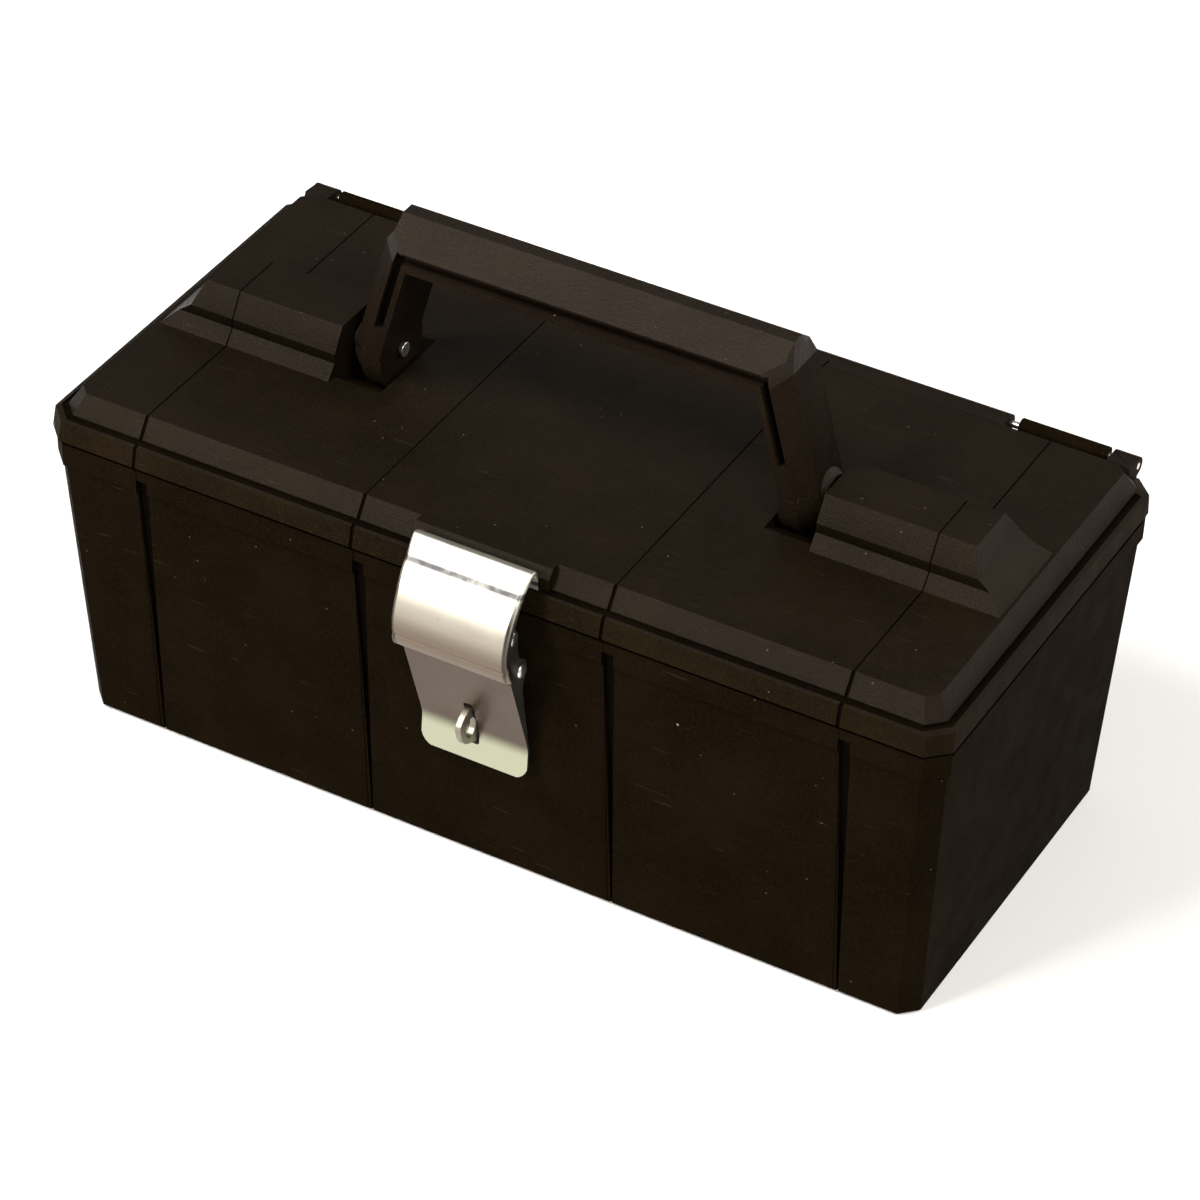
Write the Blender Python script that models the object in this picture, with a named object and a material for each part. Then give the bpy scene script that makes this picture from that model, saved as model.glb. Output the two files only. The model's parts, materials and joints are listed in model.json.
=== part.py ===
"""A hinged plastic toolbox with a carrying handle, a steel draw latch and a lift-out tray.

Units are metres, +Z is up, the front faces -Y and the long side runs along X.
"""

import math

import bmesh
import bpy
from mathutils import Matrix, Vector

MM = 0.001

# Tub, lid and their shared walls
WALL = 2.4
TRAY_WALL = 1.8
GAP = 0.3
CLEAR = 2.0            # how far a cutter runs past what it cuts
FLOOR_Z = 1.2          # underside of the floor panel, above the runners
TUB_TOP_Z = 115.4
LID_LOW_Z = 115.7
LID_TOP_Z = 130.7
LINE_X = (-128.8, -45.8, 45.8, 128.8)

# Rings of a shell: half length, front y, back y, corner chamfer, z
TUB_RINGS = (
    (157.9, -69.3, 69.3, 5.7, FLOOR_Z),
    (163.0, -76.0, 76.0, 6.2, 104.4),
    (164.2, -77.0, 77.0, 6.6, 105.4),
    (164.4, -77.2, 77.2, 6.8, TUB_TOP_Z),
)
LID_RINGS = (
    (165.0, -78.1, 77.5, 6.8, LID_LOW_Z),
    (164.6, -76.5, 77.5, 6.6, 122.7),
    (160.6, -73.0, 75.5, 5.2, 123.9),
    (156.5, -68.5, 71.0, 3.6, LID_TOP_Z),
)
TUB_CORNER = 6.0       # chamfer of the tub's inside
INNER_Z = (104.0, FLOOR_Z + 2.6)
RUNNER = (2.0, 67.4, 0.0, FLOOR_Z + 1.0)   # half width, half depth, low z, high z
LEDGE = (143.0, 158.6, 38.0, 56.0, 61.7)   # low x, high x, half depth, low z, high z
WALL_GROOVE = (0.6, 4.6, 12.0, 104.2, 1.5, 4.0)  # left and right of the line, low z, high z, depth, reach
LID_INNER_Z = 122.0
STRIKE = ((-74.3, 122.6), (-74.3, 127.9), (-71.7, 130.7), (-67.2, 130.7), (-67.2, 125.2), (-72.0, 122.6))
STRIKE_X = 25.0

# Hinge at the back
HINGE_Y = 78.3
HINGE_Z = 126.8
HINGE_R = 3.1
HINGE_PIN_R = 1.2
HINGE_HOLE_R = 1.28
LID_BARREL_X = 111.3
TUB_KNUCKLE_X = (115.0, 146.2)
LID_KNUCKLE_X = (148.2, 157.0)
HINGE_PIN_X = (99.0, 157.0)
TUB_KNUCKLE_WEB = ((75.4, 107.0), (77.2, 107.0), (81.2, 113.0), (HINGE_Y + HINGE_R, HINGE_Z),
                   (HINGE_Y, HINGE_Z), (77.9, 124.0), (77.9, 115.3), (75.4, 115.3))
LID_KNUCKLE_WEB = ((72.6, 121.6), (76.6, 121.6), (HINGE_Y, HINGE_Z - HINGE_R + 0.1),
                   (HINGE_Y, HINGE_Z + HINGE_R - 0.1), (71.6, LID_TOP_Z - 0.3), (70.4, 127.6))

# Handle bosses on the lid and the handle between them
BOSS_Y = -2.6
BOSS_INNER_X = 89.0
BOSS_RINGS = (         # half width, outer x, z
    (19.8, 156.0, LID_TOP_Z - 0.6),
    (15.3, 149.8, 135.6),
    (15.0, 145.4, 138.9),
    (10.0, 141.8, 147.2),
)
BOSS_HOLLOW_X = 102.0
BOSS_HOLLOW = (        # half width, outer x, z
    (16.6, 150.5, LID_INNER_Z),
    (16.6, 150.5, LID_TOP_Z - 1.0),
    (12.6, 145.0, 136.0),
    (7.8, 139.6, 144.8),
)
PIVOT_Y = -1.0
PIVOT_Z = 137.2
POCKET_X = (71.0, 88.6)
POCKET_R = 14.4        # of a pocket's round bottom
POCKET_TILT = 60.0     # degrees of the pocket's sloping ends, and of the handle's fold
SKIN = 2.0
FOOT_R = 13.4
FOOT_EDGE_R = 8.0      # the foot's outer edge is coned down to this
FOOT_X = (73.6, 80.4, 86.6)
FOOT_SIDES = 48
HANDLE_RINGS = (       # y from the pivot, top z, side inset
    (-13.4, 185.0, 6.4),
    (-8.0, 189.2, 0.0),
    (-2.6, 193.2, 0.0),
    (2.6, 193.2, 0.0),
    (8.0, 189.2, 0.0),
    (13.4, 185.0, 6.4),
)
HANDLE_SPLAY = 0.27
HANDLE_OUT_X = 81.7    # outer half width at REF_Z
OPENING_X = 69.6       # opening half width at REF_Z
REF_Z = 156.2
OPENING_TOP_Z = 177.7
GROOVE_DEPTH = 4.2
GROOVE_LOW_Z = 152.6
GROOVE_OUTER = (5.4, 184.2)            # growth from the opening, top z
GROOVE_INNER = (2.2, 180.1)
KNEE_Z = 185.0         # where the arms bend in to the grip
CROWN_X = 71.0         # half width of the grip's flat top
HANDLE_PIN_R = 2.0
HANDLE_PIN_X = (73.0, 99.0)
PIN_HEAD_R = 2.6
PIN_HEAD_X = (71.8, 73.2)
BUSHING_R = 5.4
BUSHING_X = (86.95, 88.7)
RUN = 0.08             # running clearance of a pin, on radius

# Draw latch, in the plane across the front
LEVER_PIVOT = (-87.5, 111.7)
HOOK_PIVOT = (-82.0, 95.2)
SHEET = 1.0
PIVOT_RIVET_R = 1.5
PIVOT_HOLE_R = 1.58
PIVOT_HEAD_R = 2.5
LEVER_RIVET_X = ((12.8, 20.4), (12.4, 13.3), (20.1, 20.7))   # shank, inner head, outer head
HOOK_RIVET_X = ((15.0, 20.4), (14.9, 15.7), (20.1, 20.7))
ACROSS = 30.0          # half length of a cutter that runs right across the latch
HOOK_EDGE = 2.6        # depth of the hook's bent edges
EAR_X = (13.6, 14.8)
TAB_X = (16.0, 17.2)
LEVER_X = (18.6, 19.8)
HOOK_EDGE_X = (21.0, 22.0)
HOOK_PROFILE = ((-74.8, 123.9), (-75.4, 130.2), (-78.4, 132.0), (-81.5, 129.2), (-86.5, 124.9),
                (-90.5, 118.5), (-93.5, 112.2), (-94.3, 108.2), (-94.0, 102.7), (-92.2, 96.9))
TAB_OUTLINE = ((-79.4, 94.4), (-80.9, 92.7), (-83.0, 92.6), (-84.6, 95.0), (-93.4, 109.2), (-93.2, 112.0),
               (-92.0, 112.6), (-80.6, 97.6), (-79.4, 96.6))
LEVER_PROFILE = ((-88.0, 93.0), (-76.6, 58.8), (-77.6, 46.8))
LEVER_FLANGE = ((-88.0, 93.6), (-77.0, 60.4), (-76.4, 61.6), (-78.8, 75.0), (-80.8, 87.0), (-79.6, 90.6),
                (-78.2, 93.4), (-78.4, 97.0), (-80.8, 99.2), (-83.0, 100.4), (-84.0, 105.0), (-84.2, 110.4),
                (-85.2, 113.8), (-87.5, 115.2), (-90.0, 114.2), (-91.2, 111.4), (-91.2, 106.0),
                (-90.4, 100.4), (-88.8, 95.4))
EAR_LOW_Z = 88.0
EAR_OUTLINE_TOP = ((-78.2, 105.0), (-84.6, 113.6), (-86.6, 114.8), (-89.4, 113.8), (-90.6, 111.2),
                   (-89.8, 108.8), (-85.0, 101.6), (-79.6, 90.6))
LEVER_SLOT = (2.8, 52.8, 74.4)         # half width, low z, high z
TAB_CORNER = ((14.6, 46.0), (21.0, 46.0), (21.0, 54.0), (19.6, 54.0), (18.6, 50.0), (17.0, 47.8))
LATCH_Y = (-92.0, -70.0)               # from in front of the latch to behind its plate
STAPLE_HALF = 1.1
STAPLE_OUTLINE = ((-75.0, 54.2), (-84.4, 58.6), (-86.9, 62.6), (-88.0, 67.0), (-85.6, 69.8),
                  (-81.8, 71.6), (-76.2, 71.4))
STAPLE_EYE = (-81.0, 63.4, 2.9, 3.7)   # y, z, half width, half height
EYE_SIDES = 20
BRACKET_Z = (54.5, 103.6)
BACKING = (15.0, 57.0, 103.0, 1.2)     # half width, low z, high z, thickness
RIVET_HEAD_R = 3.0
RIVET_R = 1.6
RIVET_HOLE_R = 1.7
RIVET_X = 9.0
RIVET_Z = (65.0, 97.0)
CENTRE_Y = 6.45                        # moves the whole object so that its box is centred on Y

# Tray inside
TRAY_RINGS = (         # half length, front y, back y, chamfer, z
    (146.5, -62.6, 63.2, 5.0, 62.0),
    (150.6, -66.4, 67.0, 6.0, 106.0),
)
TRAY_MID_Y = 0.4
TRAY_MID = (148.0, 0.9, 98.0)          # half length, half thickness and top of the middle wall
GRIP_OUTLINE = ((-44.0, 0.0), (44.0, 0.0), (44.0, 96.0), (36.0, 108.6), (-36.0, 108.6), (-44.0, 96.0))
GRIP_HOLE = ((-34.0, 80.0), (34.0, 80.0), (34.0, 96.0), (29.0, 101.0), (-29.0, 101.0), (-34.0, 96.0))
BACK_WALL_X = 62.0
RIB_TOP_Z = 96.0
DIVIDER_X = (-50.0, 50.0)

COLORS = {
    "shell_plastic": ((0.020, 0.014, 0.010), 0.48, 0.0),
    "handle_plastic": ((0.024, 0.017, 0.012), 0.46, 0.0),
    "tray_plastic": ((0.060, 0.055, 0.050), 0.50, 0.0),
    "zinc_steel": ((0.62, 0.60, 0.55), 0.28, 1.0),
}


def reset_scene():
    for obj in list(bpy.data.objects):
        bpy.data.objects.remove(obj, do_unlink=True)


def new_collection(name):
    made = bpy.data.collections.new(name)
    bpy.context.scene.collection.children.link(made)
    return made


def material(name):
    color, rough, metal = COLORS[name]
    made = bpy.data.materials.get(name) or bpy.data.materials.new(name)
    made.use_nodes = True
    shader = made.node_tree.nodes["Principled BSDF"]
    shader.inputs["Base Color"].default_value = (*color, 1.0)
    shader.inputs["Roughness"].default_value = rough
    shader.inputs["Metallic"].default_value = metal
    return made


def finish_mesh(name, bm, collection, slot=None):
    """An object from a bmesh in millimetres, with its normals facing out."""
    bmesh.ops.recalc_face_normals(bm, faces=bm.faces)
    bmesh.ops.scale(bm, vec=(MM, MM, MM), verts=bm.verts)
    mesh = bpy.data.meshes.new(name)
    bm.to_mesh(mesh)
    bm.free()
    obj = bpy.data.objects.new(name, mesh)
    collection.objects.link(obj)
    if slot:
        mesh.materials.append(material(slot))
    return obj


def ring_points(ring, inset=0.0):
    half, front, back, cut, z = ring
    half, front, back = half - inset, front + inset, back - inset
    cut = max(cut - 0.586 * inset, 0.6)
    return [Vector(p) for p in (
        (-half + cut, front, z), (half - cut, front, z),
        (half, front + cut, z), (half, back - cut, z),
        (half - cut, back, z), (-half + cut, back, z),
        (-half, back - cut, z), (-half, front + cut, z),
    )]


def loft(rows):
    """A closed bmesh through rows of points, capped at both ends."""
    bm = bmesh.new()
    loops = [[bm.verts.new(p) for p in row] for row in rows]
    count = len(loops[0])
    for low, high in zip(loops, loops[1:]):
        for i in range(count):
            j = (i + 1) % count
            bm.faces.new((low[i], low[j], high[j], high[i]))
    bm.faces.new(loops[0])
    bm.faces.new(loops[-1])
    return bm


def prism(outline, low, high, axis="X"):
    """Points of a flat outline extruded along an axis: (y, z) for X, (x, z) for Y, (x, y) for Z."""
    place = {
        "X": lambda a, b, t: (t, a, b),
        "Y": lambda a, b, t: (a, t, b),
        "Z": lambda a, b, t: (a, b, t),
    }[axis]
    return loft([[Vector(place(a, b, t)) for a, b in outline] for t in (low, high)])


def box(low, high):
    bm = bmesh.new()
    size = [b - a for a, b in zip(low, high)]
    centre = [(a + b) / 2 for a, b in zip(low, high)]
    bmesh.ops.create_cube(bm, size=1.0, matrix=Matrix.Translation(centre) @ Matrix.Diagonal((*size, 1)))
    return bm


def rod(radius, low, high, y, z, axis="X", sides=32):
    """A cylinder along X through (y, z), or along Y through x=y, z=z."""
    bm = bmesh.new()
    turn = Matrix.Rotation(math.pi / 2, 4, "Y" if axis == "X" else "X")
    middle = (low + high) / 2
    centre = (middle, y, z) if axis == "X" else (y, middle, z)
    bmesh.ops.create_cone(
        bm, cap_ends=True, segments=sides, radius1=radius, radius2=radius,
        depth=abs(high - low), matrix=Matrix.Translation(centre) @ turn)
    return bm


class Builder:
    """Adds helper bodies to a part or cuts them away. They stay hidden in their own collection."""

    def __init__(self, parts, cutters):
        self.parts = parts
        self.cutters = cutters
        self.count = 0

    def part(self, name, bm, slot):
        return finish_mesh(name, bm, self.parts, slot)

    def helper(self, bm):
        self.count += 1
        obj = finish_mesh(f"helper_{self.count:03d}", bm, self.cutters)
        obj.hide_render = True
        obj.display_type = "WIRE"
        return obj

    def combine(self, obj, bm, operation):
        modifier = obj.modifiers.new(operation.lower(), "BOOLEAN")
        modifier.operation = operation
        modifier.solver = "EXACT"
        modifier.object = self.helper(bm)

    def add(self, obj, bm):
        self.combine(obj, bm, "UNION")

    def cut(self, obj, bm):
        self.combine(obj, bm, "DIFFERENCE")


def sides(low, high):
    """The same span on the right (+X) and the left (-X)."""
    return ((low, high), (-high, -low))


def lerp(pairs, z):
    """Piecewise-linear value at z from (z, value) pairs."""
    for (z0, v0), (z1, v1) in zip(pairs, pairs[1:]):
        if z <= z1:
            return v0 + (v1 - v0) * (z - z0) / (z1 - z0)
    return pairs[-1][1]


def tub_front(z):
    return lerp([(ring[4], ring[1]) for ring in TUB_RINGS], z)


def tub_back(z):
    return lerp([(ring[4], ring[2]) for ring in TUB_RINGS], z)


def tub_half(z):
    return lerp([(ring[4], ring[0]) for ring in TUB_RINGS], z)


def inner_tub_ring(z):
    ring = (tub_half(z), tub_front(z), tub_back(z), TUB_CORNER, z)
    return ring_points(ring, WALL)


def build_tub(b):
    rows = [ring_points(ring) for ring in TUB_RINGS]
    rows += [inner_tub_ring(z) for z in (TUB_TOP_Z, *INNER_Z)]
    tub = b.part("base_tub", loft(rows), "shell_plastic")
    half, reach, low_z, high_z = RUNNER
    for x in LINE_X:
        b.add(tub, box((x - half, -reach, low_z), (x + half, reach, high_z)))
    low_x, high_x, reach, low_z, high_z = LEDGE
    for low, high in sides(low_x, high_x):
        b.add(tub, box((low, -reach, low_z), (high, reach, high_z)))
    for low, high in sides(*TUB_KNUCKLE_X):
        b.add(tub, prism(TUB_KNUCKLE_WEB, low, high))
        b.add(tub, rod(HINGE_R, low, high, HINGE_Y, HINGE_Z))
        b.cut(tub, rod(HINGE_HOLE_R, low - CLEAR, high + CLEAR, HINGE_Y, HINGE_Z, sides=24))
    for x in LINE_X:
        cut_grooves(b, tub, x)
    for x, z in rivet_places():
        wall = tub_front(z)
        b.cut(tub, rod(RIVET_HOLE_R, wall - 2 * CLEAR, wall + 3 * CLEAR, x, z, axis="Y", sides=20))
    return tub


def cut_grooves(b, tub, x):
    """A wedge-shaped groove beside each line: deep under the rim and running out at the floor."""
    left, right, low, top, depth, reach = WALL_GROOVE
    for wall, out in ((tub_front, -1), (tub_back, 1)):
        outline = [(wall(top) + out * reach, top), (wall(low) + out * reach, low),
                   (wall(low), low), (wall(top) - out * depth, top)]
        b.cut(tub, prism(outline, x + left, x + right))


def rivet_places():
    return [(x, z) for x in (-RIVET_X, RIVET_X) for z in RIVET_Z]


def build_lid(b):
    under = ((3, LID_TOP_Z - WALL), (2, LID_INNER_Z), (0, LID_LOW_Z))
    rows = [ring_points((*LID_RINGS[i][:4], z), WALL) for i, z in under]
    rows += [ring_points(ring) for ring in LID_RINGS]
    lid = b.part("lid_shell", loft(rows), "shell_plastic")
    add_hinge_barrels(b, lid)
    add_pockets(b, lid)
    add_bosses(b, lid)
    b.add(lid, prism(STRIKE, -STRIKE_X, STRIKE_X))
    for low, high in sides(HANDLE_PIN_X[0] - 4, HANDLE_PIN_X[1] + GAP):
        b.cut(lid, rod(HANDLE_PIN_R + RUN, low, high, PIVOT_Y, PIVOT_Z))
    return lid


def add_hinge_barrels(b, lid):
    spans = [(-LID_BARREL_X, LID_BARREL_X), *sides(*LID_KNUCKLE_X)]
    for low, high in spans:
        b.add(lid, prism(LID_KNUCKLE_WEB, low, high))
        b.add(lid, rod(HINGE_R, low, high, HINGE_Y, HINGE_Z))
    for low, high in sides(HINGE_PIN_X[0] - GAP, HINGE_PIN_X[1] + CLEAR):
        b.cut(lid, rod(HINGE_HOLE_R, low, high, HINGE_Y, HINGE_Z, sides=24))


def boss_points(half, low, high, z):
    return [Vector(p) for p in ((low, BOSS_Y - half, z), (high, BOSS_Y - half, z),
                                (high, BOSS_Y + half, z), (low, BOSS_Y + half, z))]


def add_bosses(b, lid):
    """Two-tier bosses outboard of the handle, hollow beyond a solid block that holds the pin."""
    for sign in (1, -1):
        b.add(lid, boss_body(BOSS_RINGS, BOSS_INNER_X, sign))
        b.cut(lid, boss_body(BOSS_HOLLOW, BOSS_HOLLOW_X, sign))


def boss_body(rings, inner, sign):
    rows = []
    for half, outer, z in rings:
        ends = sorted((sign * inner, sign * outer))
        rows.append(boss_points(half, *ends, z))
    return loft(rows)


def pocket_outline(radius, top):
    """A round bottom with a straight slope up each end, in (y, z)."""
    tilt = math.radians(POCKET_TILT)
    reach = (radius - (PIVOT_Z - top) * math.sin(tilt)) / math.cos(tilt)
    turns = [math.radians(270 + side) for side in range(int(POCKET_TILT) - 90, 91 - int(POCKET_TILT), 6)]
    bottom = [(PIVOT_Y + radius * math.cos(a), PIVOT_Z + radius * math.sin(a)) for a in turns]
    return [(PIVOT_Y - reach, top), *bottom, (PIVOT_Y + reach, top)]


def add_pockets(b, lid):
    """Pockets sunk into the lid, where the handle's feet turn and its arms fold down."""
    skin = pocket_outline(POCKET_R + SKIN, LID_TOP_Z - 2 * GAP)
    hollow = pocket_outline(POCKET_R, LID_TOP_Z + 2 * GAP)
    for low, high in sides(*POCKET_X):
        b.add(lid, prism(skin, low - SKIN, high + SKIN))
        b.cut(lid, prism(hollow, low, high))


def build_hinge_pins(b):
    for name, (low, high) in zip(("hinge_pin_right", "hinge_pin_left"), sides(*HINGE_PIN_X)):
        b.part(name, rod(HINGE_PIN_R, low, high, HINGE_Y, HINGE_Z, sides=24), "zinc_steel")


def splayed(x, z):
    """The half width at height z of something that is x wide at REF_Z."""
    return x + HANDLE_SPLAY * (REF_Z - z)


def handle_row(y, top, inset):
    """One slice of the handle's outer shape, from foot to foot over the grip."""
    knee = min(top - 4.0, KNEE_Z)
    crown = min(splayed(HANDLE_OUT_X, KNEE_Z + 2.0) - inset - 2.0, CROWN_X)
    half = [(splayed(HANDLE_OUT_X, PIVOT_Z) - inset, PIVOT_Z),
            (splayed(HANDLE_OUT_X, knee) - inset, knee), (crown, top)]
    outline = half + [(-x, z) for x, z in reversed(half)]
    return [Vector((x, PIVOT_Y + y, z)) for x, z in outline]


def opening_outline(grow, top, low):
    """A trapezoid like the hand opening, grown outwards."""
    wide, narrow = splayed(OPENING_X, low) + grow, splayed(OPENING_X, top) + grow
    return [(-wide, low), (wide, low), (narrow, top), (-narrow, top)]


def build_handle(b):
    handle = b.part("carry_handle", loft([handle_row(*ring) for ring in HANDLE_RINGS]), "handle_plastic")
    reach = FOOT_R + CLEAR
    below = PIVOT_Z - reach
    opening = opening_outline(0.0, OPENING_TOP_Z, below)
    b.cut(handle, prism(opening, PIVOT_Y - reach, PIVOT_Y + reach, "Y"))
    for sign in (1, -1):
        b.add(handle, foot(sign))
    for side in (-1, 1):
        span = sorted((PIVOT_Y + side * (FOOT_R - GROOVE_DEPTH), PIVOT_Y + side * reach))
        b.cut(handle, prism(groove_outline(), *span, "Y"))
    for low, high in sides(FOOT_X[0] - CLEAR, FOOT_X[2] + CLEAR):
        b.cut(handle, rod(HANDLE_PIN_R + RUN, low, high, PIVOT_Y, PIVOT_Z))
    return handle


def foot(sign):
    """A disc round the pivot whose outer edge is coned like the arm's."""
    rows = []
    for x, radius in zip(FOOT_X, (FOOT_R, FOOT_R, FOOT_EDGE_R)):
        turns = [math.tau * i / FOOT_SIDES for i in range(FOOT_SIDES)]
        rows.append([Vector((sign * x, PIVOT_Y + radius * math.cos(a), PIVOT_Z + radius * math.sin(a)))
                     for a in turns])
    return loft(rows)


def groove_outline():
    """The U-shaped groove round the hand opening, as one outline."""
    outer = opening_outline(*GROOVE_OUTER, GROOVE_LOW_Z)
    inner = opening_outline(*GROOVE_INNER, GROOVE_LOW_Z)
    return [outer[0], outer[3], outer[2], outer[1], inner[1], inner[2], inner[3], inner[0]]


def build_handle_pins(b):
    for side, sign in (("right", 1), ("left", -1)):
        shank, head, ring = [sorted(sign * x for x in span) for span in (HANDLE_PIN_X, PIN_HEAD_X, BUSHING_X)]
        pin = b.part(f"handle_pin_{side}", rod(HANDLE_PIN_R, *shank, PIVOT_Y, PIVOT_Z), "zinc_steel")
        b.add(pin, rod(PIN_HEAD_R, *head, PIVOT_Y, PIVOT_Z))
        bush = b.part(f"handle_bushing_{side}", rod(BUSHING_R, *ring, PIVOT_Y, PIVOT_Z), "zinc_steel")
        b.cut(bush, rod(HANDLE_PIN_R + RUN, ring[0] - 1, ring[1] + 1, PIVOT_Y, PIVOT_Z))


def thick_line(points, thickness):
    """An outline that gives a folded line of sheet its thickness, on the side left of its path."""
    steps = [(Vector(q) - Vector(p)).normalized() for p, q in zip(points, points[1:])]
    moved = []
    for i, point in enumerate(points):
        before, after = steps[max(i - 1, 0)], steps[min(i, len(steps) - 1)]
        normal = Vector((-before.y - after.y, before.x + after.x)).normalized()
        reach = thickness / max(normal.dot(Vector((-after.y, after.x))), 0.5)
        moved.append((point[0] + normal.x * reach, point[1] + normal.y * reach))
    return list(points) + moved[::-1]


def mirrored(b, obj, outline, span, operation):
    for low, high in sides(*span):
        b.combine(obj, prism(outline, low, high), operation)


def build_hook(b):
    """The cover that hooks over the strike, with two inner tabs down to the lever."""
    outline = thick_line(HOOK_PROFILE, SHEET)
    hook = b.part("latch_hook", prism(outline, -HOOK_EDGE_X[1], HOOK_EDGE_X[1]), "zinc_steel")
    edge = thick_line(HOOK_PROFILE[3:-1], HOOK_EDGE)
    mirrored(b, hook, edge, HOOK_EDGE_X, "UNION")
    mirrored(b, hook, TAB_OUTLINE, TAB_X, "UNION")
    b.cut(hook, rod(PIVOT_HOLE_R, -ACROSS, ACROSS, *HOOK_PIVOT, sides=24))
    return hook


def build_lever(b):
    """The pull lever: a plate with side flanges, a slot for the staple and a rounded finger tab."""
    outline = thick_line(LEVER_PROFILE, SHEET)
    lever = b.part("latch_lever", prism(outline, -LEVER_X[1], LEVER_X[1]), "zinc_steel")
    mirrored(b, lever, LEVER_FLANGE, LEVER_X, "UNION")
    for pivot in (LEVER_PIVOT, HOOK_PIVOT):
        b.cut(lever, rod(PIVOT_HOLE_R, -ACROSS, ACROSS, *pivot, sides=24))
    half, low, high = LEVER_SLOT
    front, back = LATCH_Y
    b.cut(lever, box((-half, front, low), (half, back, high)))
    for sign in (1, -1):
        b.cut(lever, prism([(sign * x, z) for x, z in TAB_CORNER], front, back, "Y"))
    return lever


def build_bracket(b):
    """The plate riveted to the front wall, with two ears that carry the lever."""
    low, high = BRACKET_Z
    y_low, y_high = tub_front(low) - GAP, tub_front(high) - GAP
    plate = [(y_low, low), (y_high, high), (y_high - SHEET, high), (y_low - SHEET, low)]
    bracket = b.part("latch_bracket", prism(plate, -EAR_X[1], EAR_X[1]), "zinc_steel")
    behind = GAP + 0.1
    foot = [(tub_front(EAR_LOW_Z) - behind, EAR_LOW_Z), (tub_front(high) - behind, high - 0.1)]
    ear = foot + list(EAR_OUTLINE_TOP)
    mirrored(b, bracket, ear, EAR_X, "UNION")
    b.cut(bracket, rod(PIVOT_HOLE_R, -ACROSS, ACROSS, *LEVER_PIVOT, sides=24))
    for x, z in rivet_places():
        b.cut(bracket, rod(RIVET_HOLE_R, *LATCH_Y, x, z, axis="Y", sides=20))
    return bracket


def build_staple(b):
    """The padlock loop: a flat plate on edge with an oval eye."""
    staple = b.part("padlock_staple", prism(STAPLE_OUTLINE, -STAPLE_HALF, STAPLE_HALF), "zinc_steel")
    y, z, half_y, half_z = STAPLE_EYE
    eye = [(y + half_y * math.cos(a), z + half_z * math.sin(a))
           for a in [math.tau * i / EYE_SIDES for i in range(EYE_SIDES)]]
    b.cut(staple, prism(eye, -CLEAR, CLEAR))
    return staple


def build_pivot_rivets(b):
    for name, pivot, spans in (("lever_rivet", LEVER_PIVOT, LEVER_RIVET_X),
                               ("hook_rivet", HOOK_PIVOT, HOOK_RIVET_X)):
        for side, sign in (("right", 1), ("left", -1)):
            shank, *heads = [sorted(sign * x for x in span) for span in spans]
            rivet = b.part(f"{name}_{side}", rod(PIVOT_RIVET_R, *shank, *pivot, sides=24), "zinc_steel")
            for head in heads:
                b.add(rivet, rod(PIVOT_HEAD_R, *head, *pivot, sides=24))


def build_wall_rivets(b):
    """Four rivets through the latch bracket, the tub's wall and a backing plate inside it."""
    half, low, high, thick = BACKING
    for i, (x, z) in enumerate(rivet_places(), 1):
        wall = tub_front(z)
        outer = wall - GAP - SHEET - GAP
        inner = wall + WALL + GAP + thick + GAP
        shank = rod(RIVET_R, outer - GAP, inner + GAP, x, z, "Y", 20)
        rivet = b.part(f"bracket_rivet_{i}", shank, "zinc_steel")
        b.add(rivet, rod(RIVET_HEAD_R, outer - 0.8, outer - 0.1, x, z, "Y", 20))
        b.add(rivet, rod(RIVET_HEAD_R, inner + 0.1, inner + 1.1, x, z, "Y", 20))
    y_low, y_high = tub_front(low) + WALL + GAP, tub_front(high) + WALL + GAP
    plate = [(y_low, low), (y_high, high), (y_high + thick, high), (y_low + thick, low)]
    backing = b.part("latch_backing_plate", prism(plate, -half, half), "zinc_steel")
    for x, z in rivet_places():
        b.cut(backing, rod(RIVET_HOLE_R, y_high - ACROSS, 0.0, x, z, axis="Y", sides=20))


def build_tray(b):
    base, rim = TRAY_RINGS
    floor = (*base[:4], base[4] + TRAY_WALL)
    rows = [ring_points(base), ring_points(rim), ring_points(rim, TRAY_WALL), ring_points(floor, TRAY_WALL)]
    tray = b.part("tool_tray", loft(rows), "tray_plastic")
    low = base[4] + 0.8
    half, mid_half, height = TRAY_MID
    b.add(tray, box((-half, TRAY_MID_Y - mid_half, low), (half, TRAY_MID_Y + mid_half, height)))
    b.add(tray, prism([(x, max(z, low)) for x, z in GRIP_OUTLINE], TRAY_MID_Y - 3.2, TRAY_MID_Y + 3.2, "Y"))
    b.cut(tray, prism(GRIP_HOLE, TRAY_MID_Y - 8, TRAY_MID_Y + 8, "Y"))
    for x in (-BACK_WALL_X, BACK_WALL_X):
        b.add(tray, box((x - 0.8, TRAY_MID_Y, low), (x + 0.8, 65.0, RIB_TOP_Z)))
    for x in DIVIDER_X:
        for side in (-1, 1):
            rib = sorted((x + side * 1.1, x + side * 2.1))
            b.add(tray, box((rib[0], -66.0, low), (rib[1], -60.0, RIB_TOP_Z)))
            b.add(tray, box((rib[0], -4.6, low), (rib[1], TRAY_MID_Y - 0.5, RIB_TOP_Z)))
    return tray


def build_dividers(b):
    floor = TRAY_RINGS[0][4] + TRAY_WALL + GAP
    outline = [(-60.4, floor), (-3.2, floor), (-3.2, 94.0), (-63.4, 94.0)]
    for side, x in zip(("left", "right"), DIVIDER_X):
        b.part(f"tray_divider_{side}", prism(outline, x - 0.75, x + 0.75), "tray_plastic")


def smooth_round_parts(parts):
    for obj in parts.objects:
        for polygon in obj.data.polygons:
            polygon.use_smooth = True
        obj.data.set_sharp_from_angle(angle=math.radians(35))


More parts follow.
